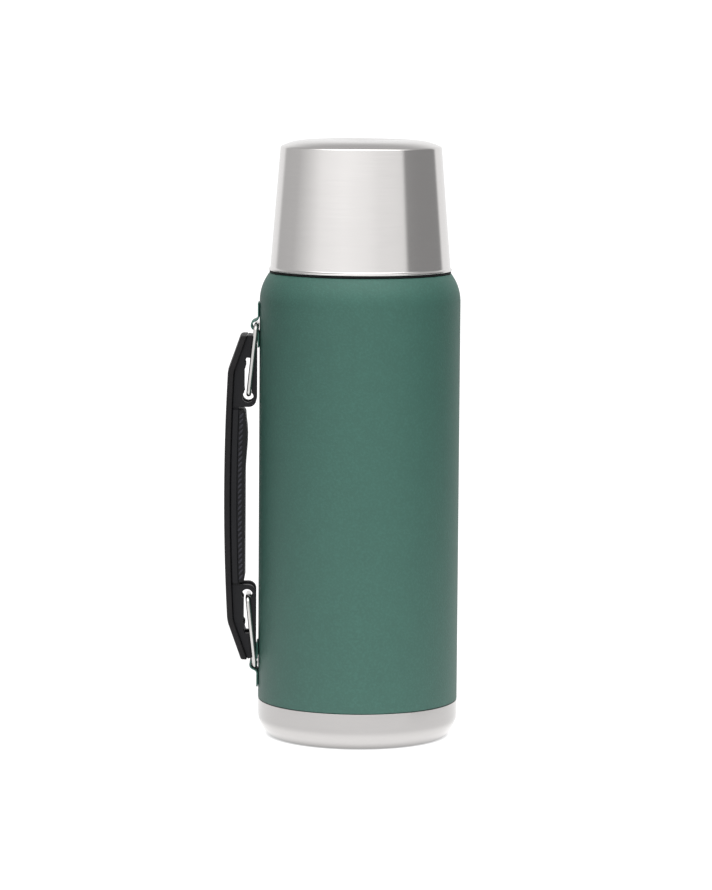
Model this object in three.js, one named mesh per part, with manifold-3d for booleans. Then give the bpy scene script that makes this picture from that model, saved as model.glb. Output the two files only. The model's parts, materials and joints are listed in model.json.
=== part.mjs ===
// A double-walled vacuum flask: a powder-coated steel body on a bare steel base, a screw-on steel cup,
// a push-button stopper in the neck, and a side handle that folds out on two wire links.
// Millimetres, +Z up. The origin is the centre of the base, and the handle is on the -X side.
import * as THREE from "three";
import { mergeVertices } from "three/addons/utils/BufferGeometryUtils.js";
import Module from "manifold-3d";

const wasm = await Module();
wasm.setup();

// ---- Driving dimensions -------------------------------------------------------------------------

// Shared
const GAP = 0.3; // between two pieces that touch
const SHEET = 0.6; // steel wall
const ROUND = 36; // facets round a large piece
const SMALL_ROUND = 24;

// Body
const BODY_R = 50;
const LEDGE_Z = 232.3; // the ledge that carries the cup
const SHOULDER_R = 22.8;
const SHOULDER_RISE = 14;
const NECK_INSET = 6.2; // from the ledge's rim in to the neck
const NECK_H = 17.7;
const NECK_GAP = 7.6; // between the neck's outer and inner wall
const VACUUM_GAP = 5;
const VESSEL_CORNER_R = 10;
const VESSEL_SHOULDER_R = 14;
const VESSEL_DROP = 26; // from the ledge down to where the vessel's shoulder starts

// Base
const BASE_H = 18.4;
const BASE_EDGE_W = 8;
const BASE_EDGE_H = 12;
const FOOT_RING_R = 36; // outer radius of the shallow groove under the base
const FOOT_RING_W = 9;
const FOOT_RING_DEPTH = 0.5;
const PLATE_Z = 5.5;
const VESSEL_Z = 10;

// Threads
const THREAD_CLEAR = 0.5; // between the crests of a screw pair
const NECK_BEAD_R = 1.2; // round thread outside the neck
const RING_BEAD_R = 0.9; // inside the cup
const MOUTH_BEAD_R = 0.75; // inside the neck
const PLUG_BEAD_R = 0.9; // on the stopper
const THREAD_PITCH = 5;
const THREAD_TURNS = 1.25;

// Cup
const SEAL_T = 0.8;
const CUP_H = 64.5;
const CUP_INSET = 0.2; // from the ledge's rim in to the cup's wall
const CUP_TAPER = 4.6; // degrees
const CUP_EDGE_W = 13.3; // the domed edge round the cup's top
const CUP_EDGE_H = 4.6;
const RIM_BEAD = 0.7;
const RIM_BEAD_H = 1.7;
const LINER_GAP = 1.3; // air between the cup's two walls
const LINER_CORNER_R = 6;
const THREAD_RING_H = 13;

// Stopper
const PLUG_DEPTH = 27;
const PLUG_WALL = 2;
const SEAT_R = 12;
const WEB_Z = 17; // the guide web's underside, above the plug's foot
const WEB_T = 2.5;
const GASKET_T = 1.6;
const FLANGE_T = 2.2;
const FLANGE_INSET = 4; // from the neck's outside in to the flange's rim
const CAP_H = 7.3;
const CAP_WALL = 2.6;
const BUTTON_R = 14.6;
const BUTTON_H = 7;
const BUTTON_PROUD = 0.5;
const BUTTON_PLAY = 0.4;
const STEM_R = 2.3;
const STEM_PLAY = 0.5;
const DISC_OVERLAP = 4.5; // how far the valve disc reaches past its seat
const DISC_T = 1.7;
const SPRING_R = 6.5;
const SPRING_WIRE_R = 0.5;
const SPRING_TURNS = 5;
const POUR_WINDOW_W = 14;

// Wire links and their brackets
const WIRE_R = 1.2;
const WIRE_STANDOFF = 0.2; // between the wire and the body
const LINK_RISE = 34.3; // height between a link's two crossbars
const LINK_LEAN = 3.7; // how far the handle's crossbar stands out from the bracket's
const LINK_BEND_R = 2.6;
const UPPER_PIVOT_DROP = 12.1; // below the top of the straight wall
const LOWER_PIVOT_RISE = 17.2; // above the base's rim
const STRAP_T = 0.75;
const STRAP_HALF_W = 7;
const STRAP_LEG = 5.4; // flat length against the body
const STRAP_REACH = 11; // from the pivot to the strap's end
const HOOK_PLAY = 0.65;
const HOOK_START = 115; // where the hook's round stretch starts, in degrees from the body
const HOOK_EASE = 1.6; // length of the bends that lead into it

// Handle
const EAR_HALF_W = 8;
const EAR_T = 3.2;
const EAR_EDGE = 1.25; // gap from the body to an ear's edge
const EAR_FOOT = 6.3; // from a crossbar to the ear's grip-side end
const EAR_CORNER_R = 3.6;
const EAR_TIP = 23.8; // from a crossbar to where an ear's edge turns in
const SIDE_PLAY = 0.4; // between an ear and a wire leg
const COVER_T = 3.3;
const COVER_HALF_W = 11.5;
const WEB_DEPTH = 3.2;
const GRIP_HALF_W = 10.6;
const KINK_OUT = 15.6; // from the body to the handle's outer face at its kinks
const KINK_RISE = 12.3; // from a crossbar to a kink
const BOW = 1.75;
const END_OUT = 9.5; // from the body to the outer face at the handle's ends
const TIP_OUT = 4; // from the body to an ear's tip
const TOP_END = 29.4; // from a crossbar to the handle's end
const FOOT_END = 31;
const PAD_OUT = 6.8; // from the body to the grip pad
const PAD_SWELL = 1.1; // finger rest near the pad's top
const SLOT_PLAY = 0.8;
const SLOT_LENGTH = 18.3; // from a crossbar to the slot's far end
const SLOT_SHIFT = 0.4;
const SLOT_NECK = 0.1; // how far each side closes in above the eye
const EYE_PLAY = 1.6;
const EYE_DROP = 1.3;
const DETENT = 0.8;

// ---- Sizes that follow from them ----------------------------------------------------------------

const LEDGE_R = BODY_R - SHOULDER_R + Math.sqrt(SHOULDER_R ** 2 - SHOULDER_RISE ** 2);
const WALL_TOP = LEDGE_Z - SHOULDER_RISE;
const NECK_R = LEDGE_R - NECK_INSET;
const MOUTH_R = NECK_R - 2 * SHEET - NECK_GAP;
const MOUTH_Z = LEDGE_Z + NECK_H;
const CREST_R = NECK_R + NECK_BEAD_R;

const SEAL_Z = LEDGE_Z + GAP;
const CUP_Z = SEAL_Z + SEAL_T + GAP;
const CUP_R = LEDGE_R - CUP_INSET;
const CUP_TOP = CUP_Z + CUP_H;
const CUP_SIDE_TOP = CUP_TOP - CUP_EDGE_H;
const CUP_SLOPE = Math.tan(THREE.MathUtils.degToRad(CUP_TAPER));
const RING_TOP = CUP_Z + THREAD_RING_H;

const PLUG_R = MOUTH_R - MOUTH_BEAD_R - THREAD_CLEAR - PLUG_BEAD_R;
const PLUG_Z = MOUTH_Z - PLUG_DEPTH;
const GASKET_Z = MOUTH_Z + GAP;
const FLANGE_Z = GASKET_Z + GASKET_T + GAP;
const FLANGE_R = NECK_R - FLANGE_INSET;
const CAP_Z = FLANGE_Z + FLANGE_T + GAP;
const CAP_TOP = CAP_Z + CAP_H;
const CAP_R = FLANGE_R - 1;
const COLLAR_R = CAP_R - CAP_WALL - GAP; // the pour collar inside the cap
const BUTTON_TOP = CAP_TOP + BUTTON_PROUD;
const BUTTON_Z = BUTTON_TOP - BUTTON_H;

const PIVOT_X = -(BODY_R + WIRE_STANDOFF + WIRE_R);
const BAR_X = PIVOT_X - LINK_LEAN;
const UPPER_PIVOT_Z = WALL_TOP - UPPER_PIVOT_DROP;
const LOWER_PIVOT_Z = BASE_H + LOWER_PIVOT_RISE;
const HANDLE_MID = (UPPER_PIVOT_Z + LOWER_PIVOT_Z) / 2;
const BAR_RISE = (UPPER_PIVOT_Z - LOWER_PIVOT_Z) / 2 - LINK_RISE; // a crossbar's height from the middle
const LINK_LENGTH = Math.hypot(LINK_RISE, LINK_LEAN);
const LEG_Y = EAR_HALF_W + SIDE_PLAY + WIRE_R;
const SLOT_HALF_W = WIRE_R + SLOT_PLAY;
const EYE_R = WIRE_R + EYE_PLAY;
const SLOT_X = BAR_X - SLOT_SHIFT;

// ---- Geometry helpers ---------------------------------------------------------------------------

const degrees = THREE.MathUtils.degToRad;

// Points on an ellipse's arc, from one angle to another in degrees.
function arc(x, y, rx, ry, from, to, steps = 4) {
  return Array.from({ length: steps + 1 }, (_, i) => {
    const angle = degrees(from + ((to - from) * i) / steps);
    return [x + rx * Math.cos(angle), y + ry * Math.sin(angle)];
  });
}

const vectors = (points) => points.map(([x, y]) => new THREE.Vector2(x, y));

// A profile of [radius, height] points turned about Z. It is listed anticlockwise, from the axis to the axis.
function turned(profile, facets = SMALL_ROUND) {
  return new THREE.LatheGeometry(vectors(profile), facets).rotateX(Math.PI / 2);
}

// The same for a profile that closes on itself.
function ring(profile, facets = SMALL_ROUND) {
  return turned([...profile, profile[0]], facets);
}

// A side view of [x, z] points given a thickness along Y, from y0 to y1.
function plate(outline, y0, y1, bevel = 0) {
  return new THREE.ExtrudeGeometry(new THREE.Shape(vectors(outline)), {
    depth: y1 - y0 - 2 * bevel,
    bevelEnabled: bevel > 0,
    bevelThickness: bevel,
    bevelSize: bevel,
    bevelOffset: -bevel,
    bevelSegments: 1,
  })
    .rotateX(Math.PI / 2)
    .translate(0, y1 - bevel, 0);
}

const bar = (width, depth, height, x, y, z) => new THREE.BoxGeometry(width, depth, height).translate(x, y, z);

// A curve in space from a function of 0 to 1.
class Route extends THREE.Curve {
  constructor(place) {
    super();
    this.place = place;
  }
  getPoint(t) {
    return this.place(t);
  }
}

function swept(section, route, steps) {
  return new THREE.ExtrudeGeometry(new THREE.Shape(vectors(section)), {
    steps,
    bevelEnabled: false,
    extrudePath: route,
  });
}

const roundSection = (radius, sides) => arc(0, 0, radius, radius, 0, 360 - 360 / sides, sides - 1);

// A round bead that winds up round Z.
function helix(radius, wireR, z, rise, turns, sides = 6, stepsPerTurn = 30) {
  const route = new Route((t) => {
    const angle = 2 * Math.PI * turns * t;
    return new THREE.Vector3(radius * Math.cos(angle), radius * Math.sin(angle), z + rise * t);
  });
  return swept(roundSection(wireR, sides), route, Math.round(turns * stepsPerTurn));
}

const thread = (radius, beadR, z) =>
  helix(radius, beadR, z, THREAD_PITCH * THREAD_TURNS, THREAD_TURNS);

function solid(geometry) {
  const bare = geometry.index ? geometry.toNonIndexed() : geometry.clone();
  bare.deleteAttribute("normal");
  bare.deleteAttribute("uv");
  const merged = mergeVertices(bare, 1e-3);
  return new wasm.Manifold(
    new wasm.Mesh({
      numProp: 3,
      vertProperties: merged.attributes.position.array,
      triVerts: new Uint32Array(merged.index.array),
    }),
  );
}

function geometryOf(body) {
  const mesh = body.getMesh();
  const position = new THREE.BufferAttribute(new Float32Array(mesh.vertProperties), 3);
  const geometry = new THREE.BufferGeometry().setAttribute("position", position);
  geometry.setIndex(new THREE.BufferAttribute(new Uint32Array(mesh.triVerts), 1));
  geometry.computeVertexNormals();
  return geometry;
}

// One geometry, with others joined to it and others cut from it.
function shaped(geometry, { add = [], cut = [] }) {
  const joined = add.reduce((body, piece) => body.add(solid(piece)), solid(geometry));
  return geometryOf(cut.reduce((body, piece) => body.subtract(solid(piece)), joined));
}

// ---- Materials ----------------------------------------------------------------------------------

const finish = (color, roughness, metalness) =>
  new THREE.MeshStandardMaterial({ color, roughness, metalness });

const greenCoat = finish(0x3f6b58, 0.62, 0.1);
const brushedSteel = finish(0xb9b6b4, 0.36, 1);
const plainSteel = finish(0xc4c3c1, 0.3, 1);
const wireSteel = finish(0xd2d0ca, 0.22, 1);
const blackPlastic = finish(0x1b1b1d, 0.6, 0);
const glossPlastic = finish(0x242629, 0.35, 0);
const gripRubber = finish(0x2b2b31, 0.85, 0);
const sealRubber = finish(0x101011, 0.8, 0);
const clearSilicone = finish(0xcfcfc9, 0.55, 0);

// ---- Body ---------------------------------------------------------------------------------------

// The green shell: a neck, a ledge, a round shoulder and a straight wall that steps in behind the base.
function outerShell() {
  const centre = BODY_R - SHOULDER_R;
  const inR = SHOULDER_R - SHEET;
  const outAngle = THREE.MathUtils.radToDeg(Math.asin(SHOULDER_RISE / SHOULDER_R));
  const inAngle = THREE.MathUtils.radToDeg(Math.asin((SHOULDER_RISE - SHEET) / inR));
  const stepR = BODY_R - SHEET - GAP;
  const stepZ = BASE_H + GAP;
  const foot = BASE_EDGE_H - 1;
  const profile = [
    [stepR - SHEET, foot],
    [stepR, foot],
    [stepR, stepZ],
    [BODY_R, stepZ],
    ...arc(centre, WALL_TOP, SHOULDER_R, SHOULDER_R, 0, outAngle),
    [NECK_R, LEDGE_Z],
    [NECK_R, MOUTH_Z - SHEET - GAP],
    [NECK_R - SHEET, MOUTH_Z - SHEET - GAP],
    [NECK_R - SHEET, LEDGE_Z - SHEET],
    ...arc(centre, WALL_TOP, inR, inR, inAngle, 0),
    [BODY_R - SHEET, stepZ + SHEET],
    [stepR - SHEET, stepZ + SHEET],
  ];
  return shaped(ring(profile, ROUND), {
    add: [thread(NECK_R, NECK_BEAD_R, LEDGE_Z + (NECK_H - THREAD_PITCH * THREAD_TURNS) / 2)],
  });
}

// The inner vessel: a lip over both necks, a waisted shoulder and a round-cornered bottom.
function innerVessel() {
  const wallR = BODY_R - SHEET - VACUUM_GAP;
  const shoulderZ = LEDGE_Z - VESSEL_DROP;
  const turn = 60;
  // One side of the sheet, at a distance in from its outside.
  const side = (inset) => {
    const neckR = MOUTH_R + SHEET - inset;
    const shoulder = arc(
      wallR - VESSEL_SHOULDER_R,
      shoulderZ,
      VESSEL_SHOULDER_R - inset,
      VESSEL_SHOULDER_R - inset,
      0,
      turn,
      3,
    );
    const [lastR, lastZ] = shoulder.at(-1);
    const coneRise = (lastR - neckR) / Math.tan(degrees(turn));
    return [
      ...arc(
        wallR - VESSEL_CORNER_R,
        VESSEL_Z + VESSEL_CORNER_R,
        VESSEL_CORNER_R - inset,
        VESSEL_CORNER_R - inset,
        -90,
        0,
        3,
      ),
      ...shoulder,
      [neckR, lastZ + coneRise],
    ];
  };
  const lipZ = MOUTH_Z - SHEET;
  const profile = [
    [0, VESSEL_Z],
    ...side(0),
    [MOUTH_R + SHEET, lipZ],
    [NECK_R, lipZ],
    [NECK_R, MOUTH_Z - SHEET / 2],
    [NECK_R - SHEET / 2, MOUTH_Z],
    [MOUTH_R + SHEET / 2, MOUTH_Z],
    [MOUTH_R, MOUTH_Z - SHEET / 2],
    ...side(SHEET).reverse(),
    [0, VESSEL_Z + SHEET],
  ];
  return shaped(turned(profile, ROUND), {
    add: [thread(MOUTH_R, MOUTH_BEAD_R, MOUTH_Z - 4 - THREAD_PITCH * THREAD_TURNS)],
  });
}

function baseCup() {
  const centreR = BODY_R - BASE_EDGE_W;
  return turned(
    [
      [0, 0],
      [FOOT_RING_R - FOOT_RING_W, 0],
      [FOOT_RING_R - FOOT_RING_W + FOOT_RING_DEPTH, FOOT_RING_DEPTH],
      [FOOT_RING_R - FOOT_RING_DEPTH, FOOT_RING_DEPTH],
      [FOOT_RING_R, 0],
      ...arc(centreR, BASE_EDGE_H, BASE_EDGE_W, BASE_EDGE_H, -90, 0, 5),
      [BODY_R, BASE_H],
      [BODY_R - SHEET, BASE_H],
      ...arc(centreR, BASE_EDGE_H, BASE_EDGE_W - SHEET, BASE_EDGE_H - 2 * SHEET, 0, -90, 4),
      [0, 2 * SHEET],
    ],
    ROUND,
  );
}

// The dish that closes the vacuum space under the vessel.
function bottomPlate() {
  const lipR = BODY_R - 2 * SHEET - 2 * GAP;
  const lipZ = BASE_EDGE_H;
  const flatR = lipR - 5;
  return turned(
    [
      [0, PLATE_Z],
      [flatR, PLATE_Z],
      [lipR, lipZ],
      [lipR, lipZ + 3],
      [lipR - SHEET, lipZ + 3],
      [lipR - SHEET, lipZ],
      [flatR - SHEET, PLATE_Z + SHEET],
      [0, PLATE_Z + SHEET],
    ],
    ROUND,
  );
}

// A plain round piece, chamfered at its upper edge.
function button(radius, bottom, top, chamfer, facets) {
  return turned(
    [
      [0, bottom],
      [radius, bottom],
      [radius, top - chamfer],
      [radius - chamfer, top],
      [0, top],
    ],
    facets,
  );
}

const sealPlug = () => button(5, PLATE_Z - GAP - 2.4, PLATE_Z - GAP, 0.4, 16);

const getterCapsule = () => button(9, PLATE_Z + SHEET + GAP, VESSEL_Z - GAP, 0.6, 16);

// ---- Cup ----------------------------------------------------------------------------------------

const cupWall = (z, inset) => CUP_R - (z - CUP_Z) * CUP_SLOPE - inset;

// The cup's steel outside: a rolled rim, a tapered wall, and a domed edge round a flat top.
function cupOuterShell() {
  const topR = cupWall(CUP_SIDE_TOP, 0);
  const flatR = topR - CUP_EDGE_W;
  const edgeR = (CUP_EDGE_W ** 2 + CUP_EDGE_H ** 2) / (2 * CUP_EDGE_H);
  const sweep = THREE.MathUtils.radToDeg(Math.asin(CUP_EDGE_W / edgeR));
  const inEdgeR = edgeR - SHEET;
  return turned(
    [
      [0, CUP_TOP - SHEET],
      ...arc(flatR, CUP_TOP - edgeR, inEdgeR, inEdgeR, 90, 90 - sweep, 3),
      [cupWall(CUP_SIDE_TOP - SHEET, SHEET), CUP_SIDE_TOP - SHEET],
      [cupWall(CUP_Z, SHEET), CUP_Z],
      [cupWall(CUP_Z, -RIM_BEAD / 2), CUP_Z],
      [cupWall(CUP_Z, -RIM_BEAD), CUP_Z + RIM_BEAD_H / 2],
      [cupWall(CUP_Z + RIM_BEAD_H, 0), CUP_Z + RIM_BEAD_H],
      ...arc(flatR, CUP_TOP - edgeR, edgeR, edgeR, 90 - sweep, 90, 4),
      [0, CUP_TOP],
    ],
    ROUND,
  );
}

// The drinking side of the cup, which flares out to the shell above the thread ring.
function cupInnerLiner() {
  const inset = SHEET + LINER_GAP;
  const foot = RING_TOP + GAP;
  const roof = CUP_SIDE_TOP + CUP_EDGE_H / 2 - LINER_GAP;
  const cornerZ = roof - SHEET - LINER_CORNER_R;
  const cornerX = cupWall(cornerZ, inset + SHEET) - LINER_CORNER_R;
  const outR = LINER_CORNER_R + SHEET;
  return turned(
    [
      [0, roof - SHEET],
      ...arc(cornerX, cornerZ, LINER_CORNER_R, LINER_CORNER_R, 90, 0, 3),
      [cupWall(foot + 1, inset + SHEET), foot],
      [cupWall(foot, SHEET + GAP), foot],
      [cupWall(foot + 1, SHEET + GAP), foot + 1],
      [cupWall(foot + 2.5, inset), foot + 2.5],
      ...arc(cornerX, cornerZ, outR, outR, 0, 90, 3),
      [0, roof],
    ],
    ROUND,
  );
}

function cupThreadRing() {
  const inset = SHEET + GAP;
  const boreR = CREST_R + THREAD_CLEAR + RING_BEAD_R;
  const foot = CUP_Z + 0.5;
  const profile = [
    [boreR, foot],
    [cupWall(foot, inset), foot],
    [cupWall(RING_TOP, inset), RING_TOP],
    [boreR, RING_TOP],
  ];
  return shaped(ring(profile, ROUND), {
    add: [thread(boreR, RING_BEAD_R, foot + (THREAD_RING_H - THREAD_PITCH * THREAD_TURNS) / 2)],
  });
}

// A flat washer with a square section.
function washer(inR, outR, z, height, facets) {
  return ring(
    [
      [inR, z],
      [outR, z],
      [outR, z + height],
      [inR, z + height],
    ],
    facets,
  );
}

const cupSealRing = () => washer(CREST_R + THREAD_CLEAR, LEDGE_R, SEAL_Z, SEAL_T, ROUND);

// ---- Stopper ------------------------------------------------------------------------------------

const pourWindows = (radius, bottom, top) =>
  [-1, 1].map((side) => bar(16, POUR_WINDOW_W, top - bottom, side * radius, 0, (top + bottom) / 2));

// The threaded plug, with the valve seat at its foot, the stem's guide across it and the pour collar on top.
function stopperHousing() {
  const boreR = PLUG_R - PLUG_WALL;
  const webZ = PLUG_Z + WEB_Z;
  const collarTop = CAP_TOP - CAP_WALL - GAP;
  const profile = [
    [SEAT_R, PLUG_Z],
    [PLUG_R, PLUG_Z],
    [PLUG_R, FLANGE_Z],
    [FLANGE_R, FLANGE_Z],
    [FLANGE_R, FLANGE_Z + FLANGE_T],
    [COLLAR_R, FLANGE_Z + FLANGE_T],
    [COLLAR_R, collarTop],
    [COLLAR_R - PLUG_WALL, collarTop],
    [COLLAR_R - PLUG_WALL, FLANGE_Z + FLANGE_T],
    [boreR, FLANGE_Z + FLANGE_T - PLUG_WALL],
    [boreR, webZ + WEB_T],
    [STEM_R + STEM_PLAY, webZ + WEB_T],
    [STEM_R + STEM_PLAY, webZ],
    [boreR, webZ],
    [boreR, PLUG_Z + PLUG_WALL],
    [SEAT_R, PLUG_Z + PLUG_WALL],
  ];
  const flowR = (SPRING_R + SPRING_WIRE_R + boreR) / 2;
  const flowHoles = [45, 135, 225, 315].map((angle) =>
    bar(boreR - SPRING_R - 4, 9, 3 * WEB_T, flowR, 0, webZ + WEB_T / 2).rotateZ(degrees(angle)),
  );
  return shaped(ring(profile), {
    add: [thread(PLUG_R, PLUG_BEAD_R, MOUTH_Z - 5 - THREAD_PITCH * THREAD_TURNS)],
    cut: [...flowHoles, ...pourWindows(COLLAR_R, FLANGE_Z + FLANGE_T + 0.5, collarTop + 2)],
  });
}

function stopperTopCap() {
  const holeR = BUTTON_R + BUTTON_PLAY;
  const roof = CAP_TOP - CAP_WALL;
  const profile = [
    [CAP_R - CAP_WALL, CAP_Z],
    [CAP_R, CAP_Z],
    [CAP_R, CAP_TOP - 1.2],
    [CAP_R - 1.2, CAP_TOP],
    [holeR, CAP_TOP],
    [holeR, CAP_Z],
    [holeR + 1.5, CAP_Z],
    [holeR + 1.5, roof],
    [CAP_R - CAP_WALL, roof],
  ];
  return shaped(ring(profile), {
    cut: pourWindows(CAP_R, CAP_Z + 0.6, roof - 0.6),
  });
}

const stopperGasket = () =>
  washer(MOUTH_R - 0.4, FLANGE_R - 0.6, GASKET_Z, GASKET_T, SMALL_ROUND);

function pourButton() {
  const roof = BUTTON_TOP - 1.6;
  const boreR = STEM_R + GAP;
  return turned([
    [0, roof - 1.2],
    [boreR, roof - 1.2],
    [boreR, BUTTON_Z],
    [boreR + 1.5, BUTTON_Z],
    [boreR + 1.5, roof],
    [BUTTON_R - 1.5, roof],
    [BUTTON_R - 1.5, BUTTON_Z],
    [BUTTON_R, BUTTON_Z],
    [BUTTON_R, BUTTON_TOP - 0.8],
    [BUTTON_R - 0.8, BUTTON_TOP],
    [0, BUTTON_TOP],
  ]);
}

const SEAL_RING_T = 1.1;
const DISC_TOP = PLUG_Z - GAP - SEAL_RING_T - GAP;

function valveDisc() {
  const boreR = STEM_R + GAP;
  const floor = DISC_TOP - DISC_T;
  return turned([
    [0, floor],
    [SEAT_R + DISC_OVERLAP, floor],
    [SEAT_R + DISC_OVERLAP, DISC_TOP],
    [boreR + 3, DISC_TOP],
    [boreR + 2, DISC_TOP + 3],
    [boreR, DISC_TOP + 3],
    [boreR, floor + 0.9],
    [0, floor + 0.9],
  ]);
}

const valveStem = () =>
  button(STEM_R, DISC_TOP - DISC_T + 0.9 + GAP, BUTTON_TOP - 2.8 - GAP, 0.4, 12);

const valveSeal = () =>
  washer(SEAT_R + 0.4, SEAT_R + DISC_OVERLAP - 0.4, DISC_TOP + GAP, SEAL_RING_T, SMALL_ROUND);

function buttonSpring() {
  const low = PLUG_Z + WEB_Z + WEB_T + SPRING_WIRE_R + GAP;
  const high = BUTTON_TOP - 1.6 - SPRING_WIRE_R - GAP;
  return helix(SPRING_R, SPRING_WIRE_R, low, high - low, SPRING_TURNS, 5, 12);
}

// ---- Wire links and brackets --------------------------------------------------------------------

// A rectangle of bent wire, hanging from its upper crossbar. Its ends meet in that crossbar.
function wireLink() {
  const w = LEG_Y;
  const r = LINK_BEND_R;
  const half = GAP / 2;
  const path = new THREE.Path()
    .moveTo(half, 0)
    .lineTo(w - r, 0)
    .absarc(w - r, -r, r, Math.PI / 2, 0, true)
    .lineTo(w, r - LINK_LENGTH)
    .absarc(w - r, r - LINK_LENGTH, r, 0, -Math.PI / 2, true)
    .lineTo(r - w, -LINK_LENGTH)
    .absarc(r - w, r - LINK_LENGTH, r, -Math.PI / 2, -Math.PI, true)
    .lineTo(-w, -r)
    .absarc(r - w, -r, r, Math.PI, Math.PI / 2, true)
    .lineTo(-half, 0);
  const route = new Route((t) => {
    const point = path.getPointAt(t);
    return new THREE.Vector3(0, point.x, point.y);
  });
  return swept(roundSection(WIRE_R, 8), route, 48);
}

// A strap that lies on the body at both ends and hooks round a wire between them. Its pivot is at the origin.
function bracketStrap() {
  const wall = -PIVOT_X - BODY_R - GAP - STRAP_T / 2; // from the pivot in to the strap's flat ends
  const hookR = WIRE_R + HOOK_PLAY + STRAP_T / 2;
  const hookX = -GAP;
  const flatZ = STRAP_REACH - STRAP_LEG;
  const start = degrees(HOOK_START);
  const joinX = hookX + hookR * Math.cos(start);
  const joinZ = hookR * Math.sin(start);
  const easeX = joinX + HOOK_EASE * Math.sin(start);
  const easeZ = joinZ - HOOK_EASE * Math.cos(start);
  const path = new THREE.Path()
    .moveTo(wall, STRAP_REACH)
    .lineTo(wall, flatZ)
    .bezierCurveTo(wall, flatZ - HOOK_EASE, easeX, easeZ, joinX, joinZ)
    .absarc(hookX, 0, hookR, start, 2 * Math.PI - start, false)
    .bezierCurveTo(easeX, -easeZ, wall, HOOK_EASE - flatZ, wall, -flatZ)
    .lineTo(wall, -STRAP_REACH);
  const route = new Route((t) => {
    const point = path.getPointAt(t);
    return new THREE.Vector3(point.x, 0, point.y);
  });
  const section = [
    [-STRAP_HALF_W, -STRAP_T / 2],
    [STRAP_HALF_W, -STRAP_T / 2],
    [STRAP_HALF_W, STRAP_T / 2],
    [-STRAP_HALF_W, STRAP_T / 2],
  ];
  return swept(section, route, 36);
}

// ---- Handle -------------------------------------------------------------------------------------

// Side views of the handle are drawn about its middle, as [distance out from the body, height]. The upper
// and lower halves are alike apart from their ends, so each half is drawn upwards and the lower one turned over.

const KINK_Z = BAR_RISE + KINK_RISE;
const endOf = (upper) => BAR_RISE + (upper ? TOP_END : FOOT_END);
const SLANT = (KINK_OUT - END_OUT) / (TOP_END - KINK_RISE); // inwards per unit of height
const SLANT_ANGLE = Math.atan(SLANT);

// The distance out of a line that runs inside the handle's outer face, at a depth and a height.
function faceOut(height, depth) {
  const kink = KINK_Z - depth * Math.tan(SLANT_ANGLE / 2);
  if (height > kink) return KINK_OUT - depth - (height - kink) * SLANT;
  return KINK_OUT - depth + BOW * (1 - (height / KINK_Z) ** 2);
}

// Such a line from the middle of the handle up to a height.
function faceLine(depth, top) {
  const kink = KINK_Z - depth * Math.tan(SLANT_ANGLE / 2);
  const bowed = [0, 0.35, 0.7].map((share) => share * KINK_Z).filter((height) => height < top - 1);
  const heights = top > kink ? [...bowed, kink, top] : [...bowed, top];
  return heights.map((height) => [faceOut(height, depth), height]);
}

const inPlace = (points) => points.map(([out, height]) => [-(BODY_R + out), HANDLE_MID + height]);

// A closed side view from a half view that is drawn up the outside and down the inside.
function bothHalves(outside, inside) {
  const turnedOver = (points) => points.map(([out, height]) => [out, -height]);
  return inPlace([
    ...outside(true).slice(1),
    ...inside(true),
    ...turnedOver(inside(false)).reverse(),
    ...turnedOver(outside(false)).reverse().slice(0, -1),
    outside(true)[0],
  ]);
}

function handleOuterCover() {
  const outside = (upper) => faceLine(0, endOf(upper));
  const inside = (upper) => faceLine(COVER_T, endOf(upper)).reverse().slice(0, -1);
  return plate(bothHalves(outside, inside), -COVER_HALF_W, COVER_HALF_W, 0.9);
}

const WEB_OUT_DEPTH = COVER_T + GAP;
const WEB_IN_DEPTH = WEB_OUT_DEPTH + WEB_DEPTH;

// The keyhole in an ear: an eye where the crossbar sits, and a slot that the crossbar slides along.
function keyhole() {
  const slotOut = -SLOT_X - BODY_R;
  const far = BAR_RISE + SLOT_LENGTH;
  const near = BAR_RISE - EYE_DROP;
  const w = SLOT_HALF_W;
  const detentZ = far - 4;
  return [
    ...arc(slotOut, near, EYE_R, EYE_R, 130, 410, 9),
    [slotOut + w - SLOT_NECK, near + EYE_R],
    [slotOut + w, near + EYE_R + 2],
    [slotOut + w, detentZ - 2],
    [slotOut + w - DETENT, detentZ - 1],
    [slotOut + w - DETENT, detentZ + 1],
    [slotOut + w, detentZ + 2],
    ...arc(slotOut, far - w / 2, w, w / 2, 0, 180, 3),
    [slotOut - w, near + EYE_R + 2],
    [slotOut - w + SLOT_NECK, near + EYE_R],
  ];
}

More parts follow.
